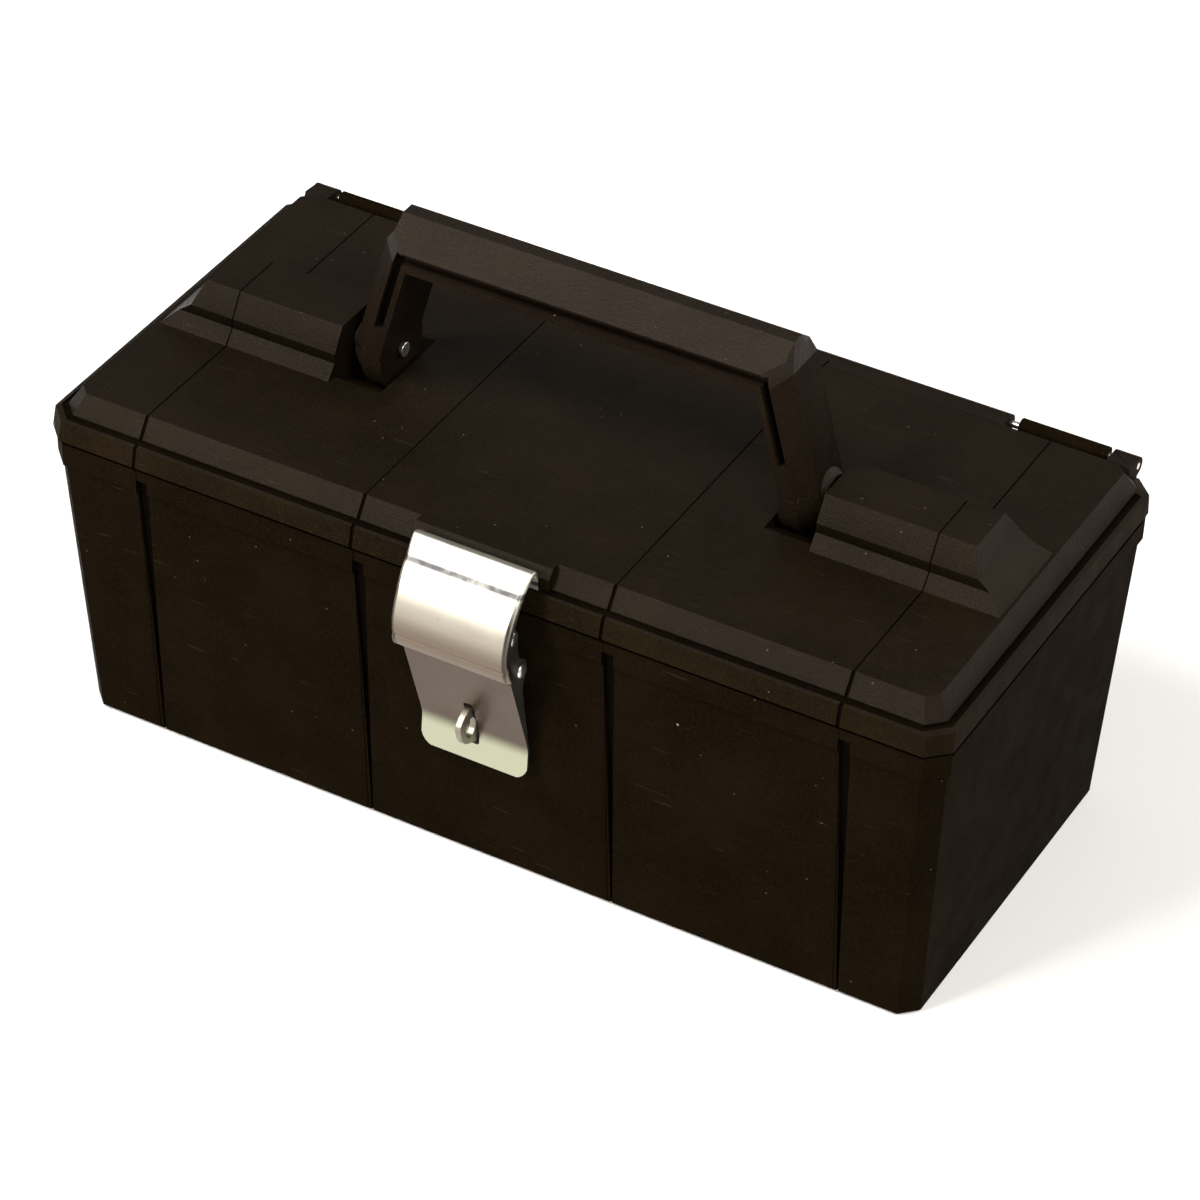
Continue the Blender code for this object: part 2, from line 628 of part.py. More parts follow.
def set_origins(parts):
    """Moves each joint's pieces so that their origin lies on the joint's axis."""
    axes = {
        "lid_shell": (0.0, HINGE_Y, HINGE_Z),
        "carry_handle": (0.0, PIVOT_Y, PIVOT_Z),
        "latch_lever": (0.0, *LEVER_PIVOT),
        "latch_hook": (0.0, *HOOK_PIVOT),
    }
    for name, place in axes.items():
        obj = parts.objects[name]
        shift = Vector(place) * MM
        obj.data.transform(Matrix.Translation(-shift))
        obj.location = shift


def main():
    reset_scene()
    parts = new_collection("toolbox_with_tray")
    cutters = new_collection("cutters")
    b = Builder(parts, cutters)
    build_tub(b)
    build_lid(b)
    build_hinge_pins(b)
    build_handle(b)
    build_handle_pins(b)
    build_bracket(b)
    build_staple(b)
    build_lever(b)
    build_hook(b)
    build_pivot_rivets(b)
    build_wall_rivets(b)
    build_tray(b)
    build_dividers(b)
    smooth_round_parts(parts)
    set_origins(parts)
    for obj in bpy.data.objects:
        obj.location.y += CENTRE_Y * MM


main()
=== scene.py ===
"""The looks of the toolbox: moulded plastic shells, a folding handle, a zinc draw latch and a tray.

Lengths are in millimetres until a mesh is made. Y is counted from the middle of the lid, and the
frame says how far that is from the row frame's origin.
"""

import json
import math

import bmesh
import bpy
from mathutils import Matrix, Vector


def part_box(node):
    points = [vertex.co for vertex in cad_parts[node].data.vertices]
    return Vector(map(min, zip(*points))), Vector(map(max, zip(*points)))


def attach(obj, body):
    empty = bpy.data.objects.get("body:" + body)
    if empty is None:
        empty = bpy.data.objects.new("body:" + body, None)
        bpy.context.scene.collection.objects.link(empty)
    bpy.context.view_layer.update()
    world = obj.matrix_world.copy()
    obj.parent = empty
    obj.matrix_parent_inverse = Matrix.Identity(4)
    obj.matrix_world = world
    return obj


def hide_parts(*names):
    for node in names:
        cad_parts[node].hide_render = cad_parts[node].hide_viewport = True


MM = 0.001
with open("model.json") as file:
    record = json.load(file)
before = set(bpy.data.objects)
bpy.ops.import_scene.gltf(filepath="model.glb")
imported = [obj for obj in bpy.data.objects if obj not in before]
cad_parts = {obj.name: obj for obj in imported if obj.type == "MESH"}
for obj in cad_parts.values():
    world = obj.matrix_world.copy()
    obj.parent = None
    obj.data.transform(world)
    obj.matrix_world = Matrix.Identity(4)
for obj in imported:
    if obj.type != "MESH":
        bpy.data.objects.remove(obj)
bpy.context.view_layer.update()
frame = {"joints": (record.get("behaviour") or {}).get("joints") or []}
JOINTS = {joint["name"]: joint for joint in frame["joints"]}

# Driving sizes
LID_FRONT_Y = -78.1
Y_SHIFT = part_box("lid_shell")[0].y / MM - LID_FRONT_Y
WALL = 2.4
FLOOR_Z = 1.2
TUB_TOP_Z = 115.4
LID_LOW_Z = 115.7
GAP = 0.3              # between pieces that touch
LID_TOP_Z = 130.7
LINE_X = (-128.8, -45.8, 45.8, 128.8)
EDGE = 0.55            # width of the rounded edges
CLEAR = 2.0            # how far a cutter runs past what it cuts
WELD = 0.00002         # metres between vertices that are merged
UPRIGHT = 0.3          # the largest upward part of an upright face's normal
BAND_FACING = 0.9
SIDE_FACING = 0.6


def joint_place(name):
    """(y, z) of a hinge's axis, in millimetres from the lid's middle."""
    place = JOINTS[name]["pos_m"]
    return place[1] / MM - Y_SHIFT, place[2] / MM


HINGE = joint_place("lid_hinge")
PIVOT = joint_place("handle_fold")
LEVER_PIVOT = joint_place("latch_lever_swing")
HOOK_PIVOT = joint_place("latch_hook_swing")


# ---------------------------------------------------------------- mesh helpers

def loft(rows):
    """A closed bmesh through rows of points, capped at both ends."""
    bm = bmesh.new()
    loops = [[bm.verts.new(p) for p in row] for row in rows]
    count = len(loops[0])
    for low, high in zip(loops, loops[1:]):
        for i in range(count):
            j = (i + 1) % count
            bm.faces.new((low[i], low[j], high[j], high[i]))
    bm.faces.new(loops[0])
    bm.faces.new(loops[-1])
    return bm


def prism(outline, low, high, axis="X"):
    place = {
        "X": lambda a, b, t: (t, a, b),
        "Y": lambda a, b, t: (a, t, b),
        "Z": lambda a, b, t: (a, b, t),
    }[axis]
    return loft([[Vector(place(a, b, t)) for a, b in outline] for t in (low, high)])


def box(low, high):
    bm = bmesh.new()
    size = [b - a for a, b in zip(low, high)]
    centre = [(a + b) / 2 for a, b in zip(low, high)]
    bmesh.ops.create_cube(bm, size=1.0, matrix=Matrix.Translation(centre) @ Matrix.Diagonal((*size, 1)))
    return bm


def rod(radius, low, high, a, b, axis="X", sides=48):
    """A cylinder along X through (y, z) = (a, b), or along Y through (x, z) = (a, b)."""
    bm = bmesh.new()
    middle = (low + high) / 2
    if axis == "X":
        centre, turn = (middle, a, b), Matrix.Rotation(math.pi / 2, 4, "Y")
    else:
        centre, turn = (a, middle, b), Matrix.Rotation(-math.pi / 2, 4, "X")
    bmesh.ops.create_cone(
        bm, cap_ends=True, segments=sides, radius1=radius, radius2=radius,
        depth=abs(high - low), matrix=Matrix.Translation(centre) @ turn)
    return bm


def arc(y, z, radius, first, last, steps=10):
    angles = [math.radians(first + (last - first) * i / steps) for i in range(steps + 1)]
    return [(y + radius * math.cos(a), z + radius * math.sin(a)) for a in angles]


def rounded(points, radius, steps=4, closed=True):
    """The outline with each corner replaced by a short curve."""
    made = []
    count = len(points)
    for i, point in enumerate(points):
        if not closed and i in (0, count - 1):
            made.append(tuple(point))
            continue
        here = Vector(point)
        before = Vector(points[i - 1]) - here
        after = Vector(points[(i + 1) % count]) - here
        reach = min(radius, before.length * 0.45, after.length * 0.45)
        start = here + before.normalized() * reach
        end = here + after.normalized() * reach
        for k in range(steps + 1):
            t = k / steps
            spot = start * (1 - t) ** 2 + here * 2 * t * (1 - t) + end * t * t
            made.append((spot.x, spot.y))
    return made


def offset(points, distance):
    """An open line moved sideways, to the left of its path, with mitred corners."""
    steps = [(Vector(q) - Vector(p)).normalized() for p, q in zip(points, points[1:])]
    moved = []
    for i, point in enumerate(points):
        before, after = steps[max(i - 1, 0)], steps[min(i, len(steps) - 1)]
        normal = Vector((-before.y - after.y, before.x + after.x)).normalized()
        reach = distance / max(normal.dot(Vector((-after.y, after.x))), 0.5)
        moved.append((point[0] + normal.x * reach, point[1] + normal.y * reach))
    return moved


def band(points, left, right=0.0):
    """A closed outline between two offsets of an open line."""
    return offset(points, right) + offset(points, left)[::-1]


def to_object(name, bm):
    bmesh.ops.recalc_face_normals(bm, faces=bm.faces)
    bmesh.ops.translate(bm, vec=(0, Y_SHIFT, 0), verts=bm.verts)
    bmesh.ops.scale(bm, vec=(MM, MM, MM), verts=bm.verts)
    mesh = bpy.data.meshes.new(name)
    bm.to_mesh(mesh)
    bm.free()
    obj = bpy.data.objects.new(name, mesh)
    bpy.context.scene.collection.objects.link(obj)
    return obj


def bake(obj):
    """Replaces the mesh by its evaluated form and drops the modifiers."""
    graph = bpy.context.evaluated_depsgraph_get()
    made = bpy.data.meshes.new_from_object(obj.evaluated_get(graph), depsgraph=graph)
    obj.modifiers.clear()
    obj.data = made


def combine(obj, tools):
    """Applies (operation, bmesh) pairs in order. A third value names the material that a cutter leaves."""
    helpers = []
    for operation, bm, *lining in tools:
        helper = to_object("helper", bm)
        modifier = obj.modifiers.new(operation.lower(), "BOOLEAN")
        modifier.operation = operation
        modifier.solver = "EXACT"
        modifier.object = helper
        if lining:
            helper.data.materials.append(MATERIALS[lining[0]])
            modifier.material_mode = "TRANSFER"
        helpers.append(helper)
    bake(obj)
    for helper in helpers:
        bpy.data.objects.remove(helper)


def clean(obj):
    """Merges the vertices that the cuts left almost on top of each other."""
    bm = bmesh.new()
    bm.from_mesh(obj.data)
    bmesh.ops.remove_doubles(bm, verts=bm.verts, dist=WELD)
    bm.to_mesh(obj.data)
    bm.free()


def soften(obj, width=EDGE, segments=3, angle=28):
    """Rounds the sharp edges and shades the rest smooth."""
    clean(obj)
    modifier = obj.modifiers.new("edge", "BEVEL")
    modifier.width = width * MM
    modifier.segments = segments
    modifier.limit_method = "ANGLE"
    modifier.angle_limit = math.radians(angle)
    modifier.harden_normals = True
    for polygon in obj.data.polygons:
        polygon.use_smooth = True
    bake(obj)
    for polygon in obj.data.polygons:
        polygon.use_smooth = True
    normals = obj.modifiers.new("normals", "WEIGHTED_NORMAL")
    normals.keep_sharp = True


def paint(obj, look, wanted):
    """Gives another material to the faces that wanted(normal, centre) picks out."""
    obj.data.materials.append(MATERIALS[look])
    index = len(obj.data.materials) - 1
    for polygon in obj.data.polygons:
        if polygon.material_index == 0 and wanted(polygon.normal, polygon.center):
            polygon.material_index = index


def upright(normal, centre):
    return abs(normal.z) < UPRIGHT


def sideways(normal, centre):
    return abs(normal.x) > SIDE_FACING


def boss_band(normal, centre):
    """The upright band half way up each boss's front and back, which is given painted shade."""
    return abs(normal.y) > BAND_FACING and centre.z > LID_TOP_Z * MM


def piece(name, bm, body, slot, replaces, tools=(), width=EDGE, segments=3, angle=28, look=None, paints=()):
    obj = to_object(name, bm)
    obj.data.materials.append(MATERIALS[look or slot])
    if tools:
        combine(obj, tools)
    if width:
        soften(obj, width, segments, angle)
    for other, wanted in paints:
        paint(obj, other, wanted)
    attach(obj, body)
    if replaces:
        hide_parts(*replaces)
    return obj


def both(low, high):
    return ((low, high), (-high, -low))


def lerp(pairs, z):
    for (z0, v0), (z1, v1) in zip(pairs, pairs[1:]):
        if z <= z1:
            return v0 + (v1 - v0) * (z - z0) / (z1 - z0)
    return pairs[-1][1]


# ---------------------------------------------------------------- materials

SCRATCH_COLOR = (0.20, 0.17, 0.14, 1)
DUST_COLOR = (0.42, 0.38, 0.33, 1)
# painted shade: the colours of the dark lines along the cover's crease and beside its bent edges
CREASE_SHADE_COLOR = (0.055, 0.054, 0.060, 1)
BEND_SHADE_COLOR = (0.045, 0.040, 0.034, 1)
STAIN_COLOR = (0.16, 0.13, 0.10, 1)
PLASTIC_SPECULAR_TINT = (1.0, 0.86, 0.74, 1)
GRAIN_LIFT = 2.2       # how much lighter than the plastic the tips of its grain are
BEND_FADE_Z = (0.117, 0.125)           # metres; the cover's painted bend shade lines end between these heights


class Nodes:
    """A short way to write a material's nodes. Positions are in metres."""

    def __init__(self, name):
        self.material = bpy.data.materials.new(name)
        self.material.use_nodes = True
        self.tree = self.material.node_tree
        self.shader = self.tree.nodes["Principled BSDF"]
        self.place = self.add("ShaderNodeTexCoord").outputs["Object"]

    def add(self, kind, **inputs):
        node = self.tree.nodes.new(kind)
        for key, value in inputs.items():
            self.put(node.inputs[key.replace("_", " ")], value)
        return node

    def put(self, socket, value):
        if isinstance(value, bpy.types.NodeSocket):
            self.tree.links.new(value, socket)
        else:
            socket.default_value = value

    def noise(self, scale, detail=2.0, rough=0.5, stretch=None, seed=0.0):
        where = self.place
        if stretch or seed:
            mapping = self.add("ShaderNodeMapping", Vector=where)
            mapping.inputs["Scale"].default_value = stretch or (1, 1, 1)
            mapping.inputs["Location"].default_value = (seed, seed * 0.7, seed * 1.3)
            where = mapping.outputs[0]
        node = self.add("ShaderNodeTexNoise", Vector=where, Scale=scale, Detail=detail, Roughness=rough)
        return node.outputs["Fac"]

    def ramp(self, fac, low, high, start=0.0, end=1.0):
        node = self.add("ShaderNodeMapRange", Value=fac)
        node.inputs["From Min"].default_value = low
        node.inputs["From Max"].default_value = high
        node.inputs["To Min"].default_value = start
        node.inputs["To Max"].default_value = end
        node.interpolation_type = "SMOOTHSTEP"
        return node.outputs[0]

    def math(self, operation, a, b):
        node = self.tree.nodes.new("ShaderNodeMath")
        node.operation = operation
        self.put(node.inputs[0], a)
        self.put(node.inputs[1], b)
        return node.outputs[0]

    def mix(self, fac, a, b):
        node = self.tree.nodes.new("ShaderNodeMix")
        node.data_type = "RGBA"
        self.put(node.inputs["Factor"], fac)
        self.put(node.inputs[6], a)
        self.put(node.inputs[7], b)
        return node.outputs[2]

    def specks(self, scale, size, share):
        """Small round marks: 1 inside a mark, 0 outside."""
        cells = self.add("ShaderNodeTexVoronoi", Vector=self.place, Scale=scale)
        inside = self.ramp(cells.outputs["Distance"], size * 0.6, size, 1.0, 0.0)
        chosen = self.add("ShaderNodeSeparateColor", Color=cells.outputs["Color"])
        kept = self.math("GREATER_THAN", chosen.outputs[0], 1.0 - share)
        return self.math("MULTIPLY", inside, kept)

    def bump(self, height, strength, distance, normal=None):
        node = self.add("ShaderNodeBump", Height=height, Strength=strength, Distance=distance)
        if normal is not None:
            self.put(node.inputs["Normal"], normal)
        return node.outputs[0]


def plastic(name, dark, light, rough, grain=1.0, dust=1.0, ior=1.10):
    """Moulded plastic with an etched grain, faint scratches and a little dust."""
    n = Nodes(name)
    cloud = n.noise(38.0, 3.0)
    color = n.mix(n.ramp(cloud, 0.3, 0.75), (*dark, 1), (*light, 1))
    fine = n.noise(1250.0, 3.0, 0.75)
    color = n.mix(n.ramp(fine, 0.46, 0.74, 0.0, 0.55), color, (*[c * GRAIN_LIFT for c in light], 1))
    scratch = n.noise(60.0, 1.0, 0.4, stretch=(1.0, 22.0, 14.0), seed=3.1)
    scratch_mark = n.ramp(scratch, 0.75, 0.78, 0.0, 0.04 * dust)
    color = n.mix(scratch_mark, color, SCRATCH_COLOR)
    small = n.math("MULTIPLY", n.specks(420.0, 0.16, 0.02), 0.12 * dust)
    large = n.math("MULTIPLY", n.specks(110.0, 0.060, 0.02), 0.40 * dust)
    color = n.mix(n.math("MAXIMUM", small, large), color, DUST_COLOR)
    n.put(n.shader.inputs["Base Color"], color)
    patches = n.noise(90.0, 3.0, seed=1.7)
    n.put(n.shader.inputs["Roughness"], n.ramp(patches, 0.25, 0.8, rough - 0.05, rough + 0.07))
    n.shader.inputs["IOR"].default_value = ior
    n.shader.inputs["Specular Tint"].default_value = PLASTIC_SPECULAR_TINT
    grains = n.bump(fine, 0.9 * grain, 0.00035)
    waves = n.bump(n.noise(70.0, 1.0, seed=5.0), 0.03, 0.0006, grains)
    n.put(n.shader.inputs["Normal"], waves)
    return n.material


def steel(name, color, rough, tint=(0.55, 0.50, 0.40), low=None, crease=None, bend=None):
    """Zinc-plated sheet with a faint brushed grain, cloudy plating and small stains.

    low is (start, end, color) of a height band that takes another color, a painted reflection; crease the
    height of a painted shade line across the bend, and bend how far from the middle the painted shade lines
    along the two bent edges lie.
    """
    n = Nodes(name)
    cloud = n.noise(55.0, 4.0, 0.6)
    base = n.mix(n.ramp(cloud, 0.35, 0.75, 0.0, 0.35), (*color, 1), (*tint, 1))
    across, _, height = n.add("ShaderNodeSeparateXYZ", Vector=n.place).outputs
    if low:
        # painted reflection: below start the sheet takes the band's colour, darker on the cover, lighter on
        # the lever's tab
        start, end, shade = low
        base = n.mix(n.ramp(height, start, end, 1.0, 0.0), base, (*shade, 1))
    if crease:
        # painted shade: a dark line along the crease, broken up by noise
        away = n.math("ABSOLUTE", n.math("SUBTRACT", height, crease), 0.0)
        crease_break = n.ramp(n.noise(220.0, 3.0), 0.25, 0.6, 0.75, 1.0)
        dull = n.math("MULTIPLY", n.ramp(away, 0.0003, 0.0013, 1.0, 0.0), crease_break)
        base = n.mix(dull, base, CREASE_SHADE_COLOR)
    if bend:
        # painted shade: dark lines beside the two rolled edges, ending between the BEND_FADE_Z heights
        side = n.math("ABSOLUTE", n.math("SUBTRACT", n.math("ABSOLUTE", across, 0.0), bend), 0.0)
        below = n.ramp(height, *BEND_FADE_Z, 1.0, 0.0)
        dark = n.math("MULTIPLY", n.ramp(side, 0.0002, 0.0009, 0.9, 0.0), below)
        base = n.mix(dark, base, BEND_SHADE_COLOR)
    stains = n.math("MULTIPLY", n.specks(260.0, 0.14, 0.06), 0.3)
    base = n.mix(stains, base, STAIN_COLOR)
    n.put(n.shader.inputs["Base Color"], base)
    n.shader.inputs["Metallic"].default_value = 1.0
    brushed = n.noise(900.0, 2.0, 0.6, stretch=(1.0, 0.06, 0.06))
    patches = n.noise(90.0, 2.0, seed=2.0)
    n.put(n.shader.inputs["Roughness"], n.ramp(patches, 0.2, 0.8, rough - 0.02, rough + 0.05))
    n.put(n.shader.inputs["Normal"], n.bump(brushed, 0.08, 0.00008))
    return n.material


MATERIALS = {
    "shell_plastic": plastic("shell_plastic", (0.0046, 0.0029, 0.0013), (0.0072, 0.0045, 0.0021), 0.40,
                             ior=1.18),
    "tub_plastic": plastic("tub_plastic", (0.0044, 0.0027, 0.0011), (0.0065, 0.0041, 0.0018), 0.42,
                           ior=1.022),
    # painted light: a lighter copy of the shell plastic for the lid's upright faces
    "upright_lit_plastic": plastic("upright_lit_plastic", (0.0063, 0.0040, 0.0019), (0.0092, 0.0059, 0.0029), 0.42, ior=1.04),
    # painted shade: a near-black plastic that lines the wall grooves, the gap under the lid's rim and the
    # lid's slope lines
    "grime": plastic("grime", (0.0020, 0.0013, 0.0009), (0.0030, 0.0020, 0.0013), 0.6, dust=0.2, ior=1.02),
    # painted shade: a darker plastic for the ledge step, the thin lid lines and the bands on the bosses
    "shade": plastic("shade", (0.0030, 0.0020, 0.0011), (0.0046, 0.0030, 0.0018), 0.5, dust=0.2, ior=1.03),
    "handle_plastic": plastic("handle_plastic", (0.0065, 0.0042, 0.0024), (0.0100, 0.0066, 0.0042), 0.38,
                              dust=0.8, ior=1.22),
    "handle_side": plastic("handle_side", (0.0065, 0.0042, 0.0024), (0.0100, 0.0066, 0.0042), 0.42,
                           dust=0.8, ior=1.06),
    "tray_plastic": plastic("tray_plastic", (0.030, 0.027, 0.024), (0.042, 0.038, 0.034), 0.50, dust=0.5),
    "zinc_steel": steel("zinc_steel", (0.66, 0.65, 0.61), 0.30),
    # the cover's own zinc, with a painted reflection darkening its lower band and painted shade at the crease
    # and bent edges
    "cover_steel": steel("cover_steel", (0.60, 0.58, 0.50), 0.36, low=(0.103, 0.1235, (0.165, 0.130, 0.100)),
                         crease=0.1262, bend=0.0203),
    # painted reflection: the lever's dark brown stands in for the dark floor it reflects, its tab's lighter
    # band for brighter floor further off
    "lever_painted_reflection": steel("lever_painted_reflection", (0.078, 0.055, 0.040), 0.34, tint=(0.102, 0.074, 0.053),
                         low=(0.0545, 0.0615, (0.41, 0.42, 0.31))),
    # painted shade: zinc as it looks in shadow, for the lever's side flanges, lighter than the lever's
    # painted reflection
    "flange_shaded_steel": steel("flange_shaded_steel", (0.150, 0.155, 0.125), 0.42, tint=(0.070, 0.072, 0.058)),
    "dull_steel": steel("dull_steel", (0.26, 0.235, 0.195), 0.38, tint=(0.16, 0.14, 0.11)),
}


# ---------------------------------------------------------------- tub

TUB_RINGS = (          # half length, half depth, corner chamfer, z
    (157.9, 69.3, 5.7, FLOOR_Z),
    (163.0, 76.0, 6.2, 104.4),
    (164.2, 77.0, 6.6, 105.4),
    (164.4, 77.2, 6.8, TUB_TOP_Z),
)
TUB_INNER_CHAMFER = 6.0
TUB_INNER_Z = (TUB_TOP_Z, 104.0, FLOOR_Z + 2.6)
CHAMFER_SHARE = 0.586  # how much a corner's chamfer shrinks for each millimetre of inset
CHAMFER_LEAST = 0.6
RING_STOP = 2.0        # how far an open ring stops short of the back corners
RUNNER = (2.0, 67.4, 0.0, FLOOR_Z + 1.0)           # half width, half depth, low z, high z
LEDGE = (143.0, 158.6, 38.0, 56.0, 61.7)           # low x, high x, half depth, low z, high z
GROOVE_ROWS = ((1.0, 1.7, 2.3), (60.0, 1.0, 3.3), (110.2, 0.2, 4.3))     # z, left and right of the line
GROOVE_DEPTH = 1.7
GROOVE_REACH = 4.0
WALL_LINE = (0.35, 0.35, 1.2)                      # half width, height, depth
WALL_LINE_Z = (TUB_TOP_Z - 0.4, 105.4, 104.4, FLOOR_Z + 0.4)
RIM_GAP_Z = (TUB_TOP_Z - 1.3, TUB_TOP_Z + 1.0)     # the painted shade line under the lid's rim
RIM_GAP_REACH = (-3.0, 1.1)
END_GAP_Z = (TUB_TOP_Z - 2.3, TUB_TOP_Z - 0.5)
END_GAP_REACH = (-3.0, 1.3)
HINGE_R = 3.1
HINGE_HOLE_R = 1.28
TUB_KNUCKLE_X = (115.0, 146.2)
TUB_WEB = ((75.4, 107.0), (77.2, 107.0), (81.2, 113.0), (HINGE[0] + HINGE_R, HINGE[1]), HINGE,
           (77.9, 124.0), (77.9, 115.3), (75.4, 115.3))


def ring(half, front, back, cut, z, inset=0.0):
    half, front, back = half - inset, front + inset, back - inset
    cut = max(cut - CHAMFER_SHARE * inset, CHAMFER_LEAST)
    return [Vector(p) for p in (
        (-half + cut, front, z), (half - cut, front, z),
        (half, front + cut, z), (half, back - cut, z),
        (half - cut, back, z), (-half + cut, back, z),
        (-half, back - cut, z), (-half, front + cut, z),
    )]


def open_ring(half, front, back, cut):
    """The (x, y) line of a ring's left end, front and right end, which stops short of the back."""
    left = [(-half, back - cut - RING_STOP), (-half, front + cut), (-half + cut, front)]
    return left + [(-x, y) for x, y in reversed(left)]


def tub_depth(z):
    return lerp([(row[3], row[1]) for row in TUB_RINGS], z)


def tub_half(z):
    return lerp([(row[3], row[0]) for row in TUB_RINGS], z)


def inner_ring(z):
    return ring(tub_half(z), -tub_depth(z), tub_depth(z), TUB_INNER_CHAMFER, z, WALL)


def groove(x, side):
    """A narrow wedge beside a wall line: wide under the rim, running out at the floor."""
    rows = []
    for z, left, right in GROOVE_ROWS:
        wall = side * tub_depth(z)
        near, far = wall - side * GROOVE_DEPTH, wall + side * GROOVE_REACH
        rows.append([Vector(p) for p in ((x + left, near, z), (x + right, near, z),
                                         (x + right, far, z), (x + left, far, z))])
    return loft(rows)


def wall_line(x, side):
    """A thin raised parting line down a long wall."""
    half, height, depth = WALL_LINE
    path = [(side * tub_depth(z), z) for z in WALL_LINE_Z]
    return prism(band(path, height * side, -depth * side), x - half, x + half)


def rim_gap():
    """The cutters of the dark line under the lid's rim, taller at the two ends; the dark is painted shade on
    their cut faces.
    """
    depth = tub_depth(TUB_TOP_Z)
    rim = open_ring(tub_half(TUB_TOP_Z), -depth, depth, TUB_RINGS[-1][2])
    tools = [("DIFFERENCE", prism(band(rim, *RIM_GAP_REACH), *RIM_GAP_Z, "Z"), "grime")]
    for ends in (rim[:2], rim[-2:]):
        tools.append(("DIFFERENCE", prism(band(ends, *END_GAP_REACH), *END_GAP_Z, "Z"), "grime"))
    return tools


def tub_knuckles():
    tools = []
    for low, high in both(*TUB_KNUCKLE_X):
        tools.append(("UNION", prism(TUB_WEB, low, high)))
        tools.append(("UNION", rod(HINGE_R, low, high, *HINGE)))
        tools.append(("DIFFERENCE", rod(HINGE_HOLE_R, low - CLEAR, high + CLEAR, *HINGE, sides=32)))
    return tools


def make_tub():
    rows = [ring(h, -d, d, cut, z) for h, d, cut, z in TUB_RINGS]
    rows += [inner_ring(z) for z in TUB_INNER_Z]
    tools = []
    half, reach, low_z, high_z = RUNNER
    for x in LINE_X:
        tools.append(("UNION", box((x - half, -reach, low_z), (x + half, reach, high_z))))
        for side in (-1, 1):
            tools.append(("UNION", wall_line(x, side)))
            # the groove's cut faces take painted shade
            tools.append(("DIFFERENCE", groove(x, side), "grime"))
    low_x, high_x, reach, low_z, high_z = LEDGE
    for low, high in both(low_x, high_x):
        tools.append(("UNION", box((low, -reach, low_z), (high, reach, high_z))))
    tools += rim_gap() + tub_knuckles()
    return piece("tub", loft(rows), "base", "shell_plastic", ["base_tub"], tools, width=0.45,
                 look="tub_plastic")


# ---------------------------------------------------------------- lid

LID_RINGS = (          # half length, front y, back y, corner chamfer, z
    (165.0, LID_FRONT_Y, 77.5, 6.8, LID_LOW_Z),
    (164.6, -76.5, 77.5, 6.6, 122.7),
    (160.6, -73.0, 75.5, 5.2, 123.9),
    (156.5, -68.5, 71.0, 3.6, LID_TOP_Z),
)
BOSS_Y = -2.6
BOSS_INNER_X = 89.0
BOSS_RINGS = (         # half width, outer x, z
    (19.9, 156.0, LID_TOP_Z - 0.6),
    (15.4, 149.8, 135.6),
    (15.1, 145.4, 138.9),
    (10.0, 141.8, 147.2),
)
STRIKE = ((-74.3, 122.6), (-74.3, 127.9), (-71.7, 130.7), (-67.2, 130.7), (-67.2, 125.2), (-72.0, 122.6))
STRIKE_X = 25.0
POCKET_X = (71.0, 88.6)
POCKET_R = 14.4
POCKET_TILT = 60.0
SKIN = 2.0             # thickness of the pocket's wall
LID_INNER = ((3, LID_TOP_Z - WALL), (2, 122.0), (0, LID_LOW_Z))          # outer ring, z
BOSS_HOLLOW_X = 102.0
BOSS_HOLLOW = (        # half width, outer x, z
    (16.6, 150.5, 122.0),
    (16.6, 150.5, LID_TOP_Z - 1.0),
    (12.6, 145.0, 136.0),
    (7.8, 139.6, 144.8),
)
LID_LINE = (0.28, 0.3)                 # half width, depth
SLOPE_LINE = (0.65, 0.6)
LINE_REACH = 3.0
LINE_DROP = 2          # how far the lines run past the rim's lower edge
LEDGE_REACH = (-2.3, -0.05)
LEDGE_Z = (122.6, 126.0)
LID_BARREL_X = 111.3
LID_KNUCKLE_X = (148.2, 157.0)
LID_BORE_X = (98.6, 159.0)
LID_WEB = ((72.6, 121.6), (76.6, 121.6), (HINGE[0], HINGE[1] - HINGE_R + 0.1),
           (HINGE[0], HINGE[1] + HINGE_R - 0.1), (71.6, LID_TOP_Z - 0.3), (70.4, 127.6))
PIN_R = 2.0
PIN_HOLE_R = PIN_R + 0.08
PIN_BORE_X = (69.0, 99.3)


def boss_row(half, low, high, z):
    return [Vector(p) for p in ((low, BOSS_Y - half, z), (high, BOSS_Y - half, z),
                                (high, BOSS_Y + half, z), (low, BOSS_Y + half, z))]


def boss(rings, inner, sign):
    rows = []
    for half, outer, z in rings:
        ends = sorted((sign * inner, sign * outer))
        rows.append(boss_row(half, *ends, z))
    return loft(rows)


def pocket_outline(radius, top):
    """A round bottom with a straight slope up each end."""
    py, pz = PIVOT
    tilt = math.radians(POCKET_TILT)
    reach = (radius - (pz - top) * math.sin(tilt)) / math.cos(tilt)
    return [(py - reach, top), *arc(py, pz, radius, 180 + POCKET_TILT, 360 - POCKET_TILT), (py + reach, top)]


def lid_profile(over_boss):
    """The lid's outer line from the front rim over the top to the back."""
    path = [(row[1], row[4]) for row in LID_RINGS]
    if over_boss:
        path += [(BOSS_Y - half, z) for half, _, z in BOSS_RINGS]
        path += [(BOSS_Y + half, z) for half, _, z in BOSS_RINGS[::-1]]
    path += [(row[2], row[4]) for row in LID_RINGS[:1:-1]]
    return [(path[0][0], path[0][1] - LINE_DROP)] + path


def lid_line(x, half, depth):
    """The cutter of a thin groove that crosses the lid from front to back."""
    path = lid_profile(abs(x) > BOSS_INNER_X)
    return prism(band(path, LINE_REACH, -depth), x - half, x + half)


def slope_line(x, half, depth):
    """The broader part of that groove, on the rim and the front slope only."""
    path = lid_profile(False)[:5]
    return prism(band(path, LINE_REACH, -depth), x - half, x + half)


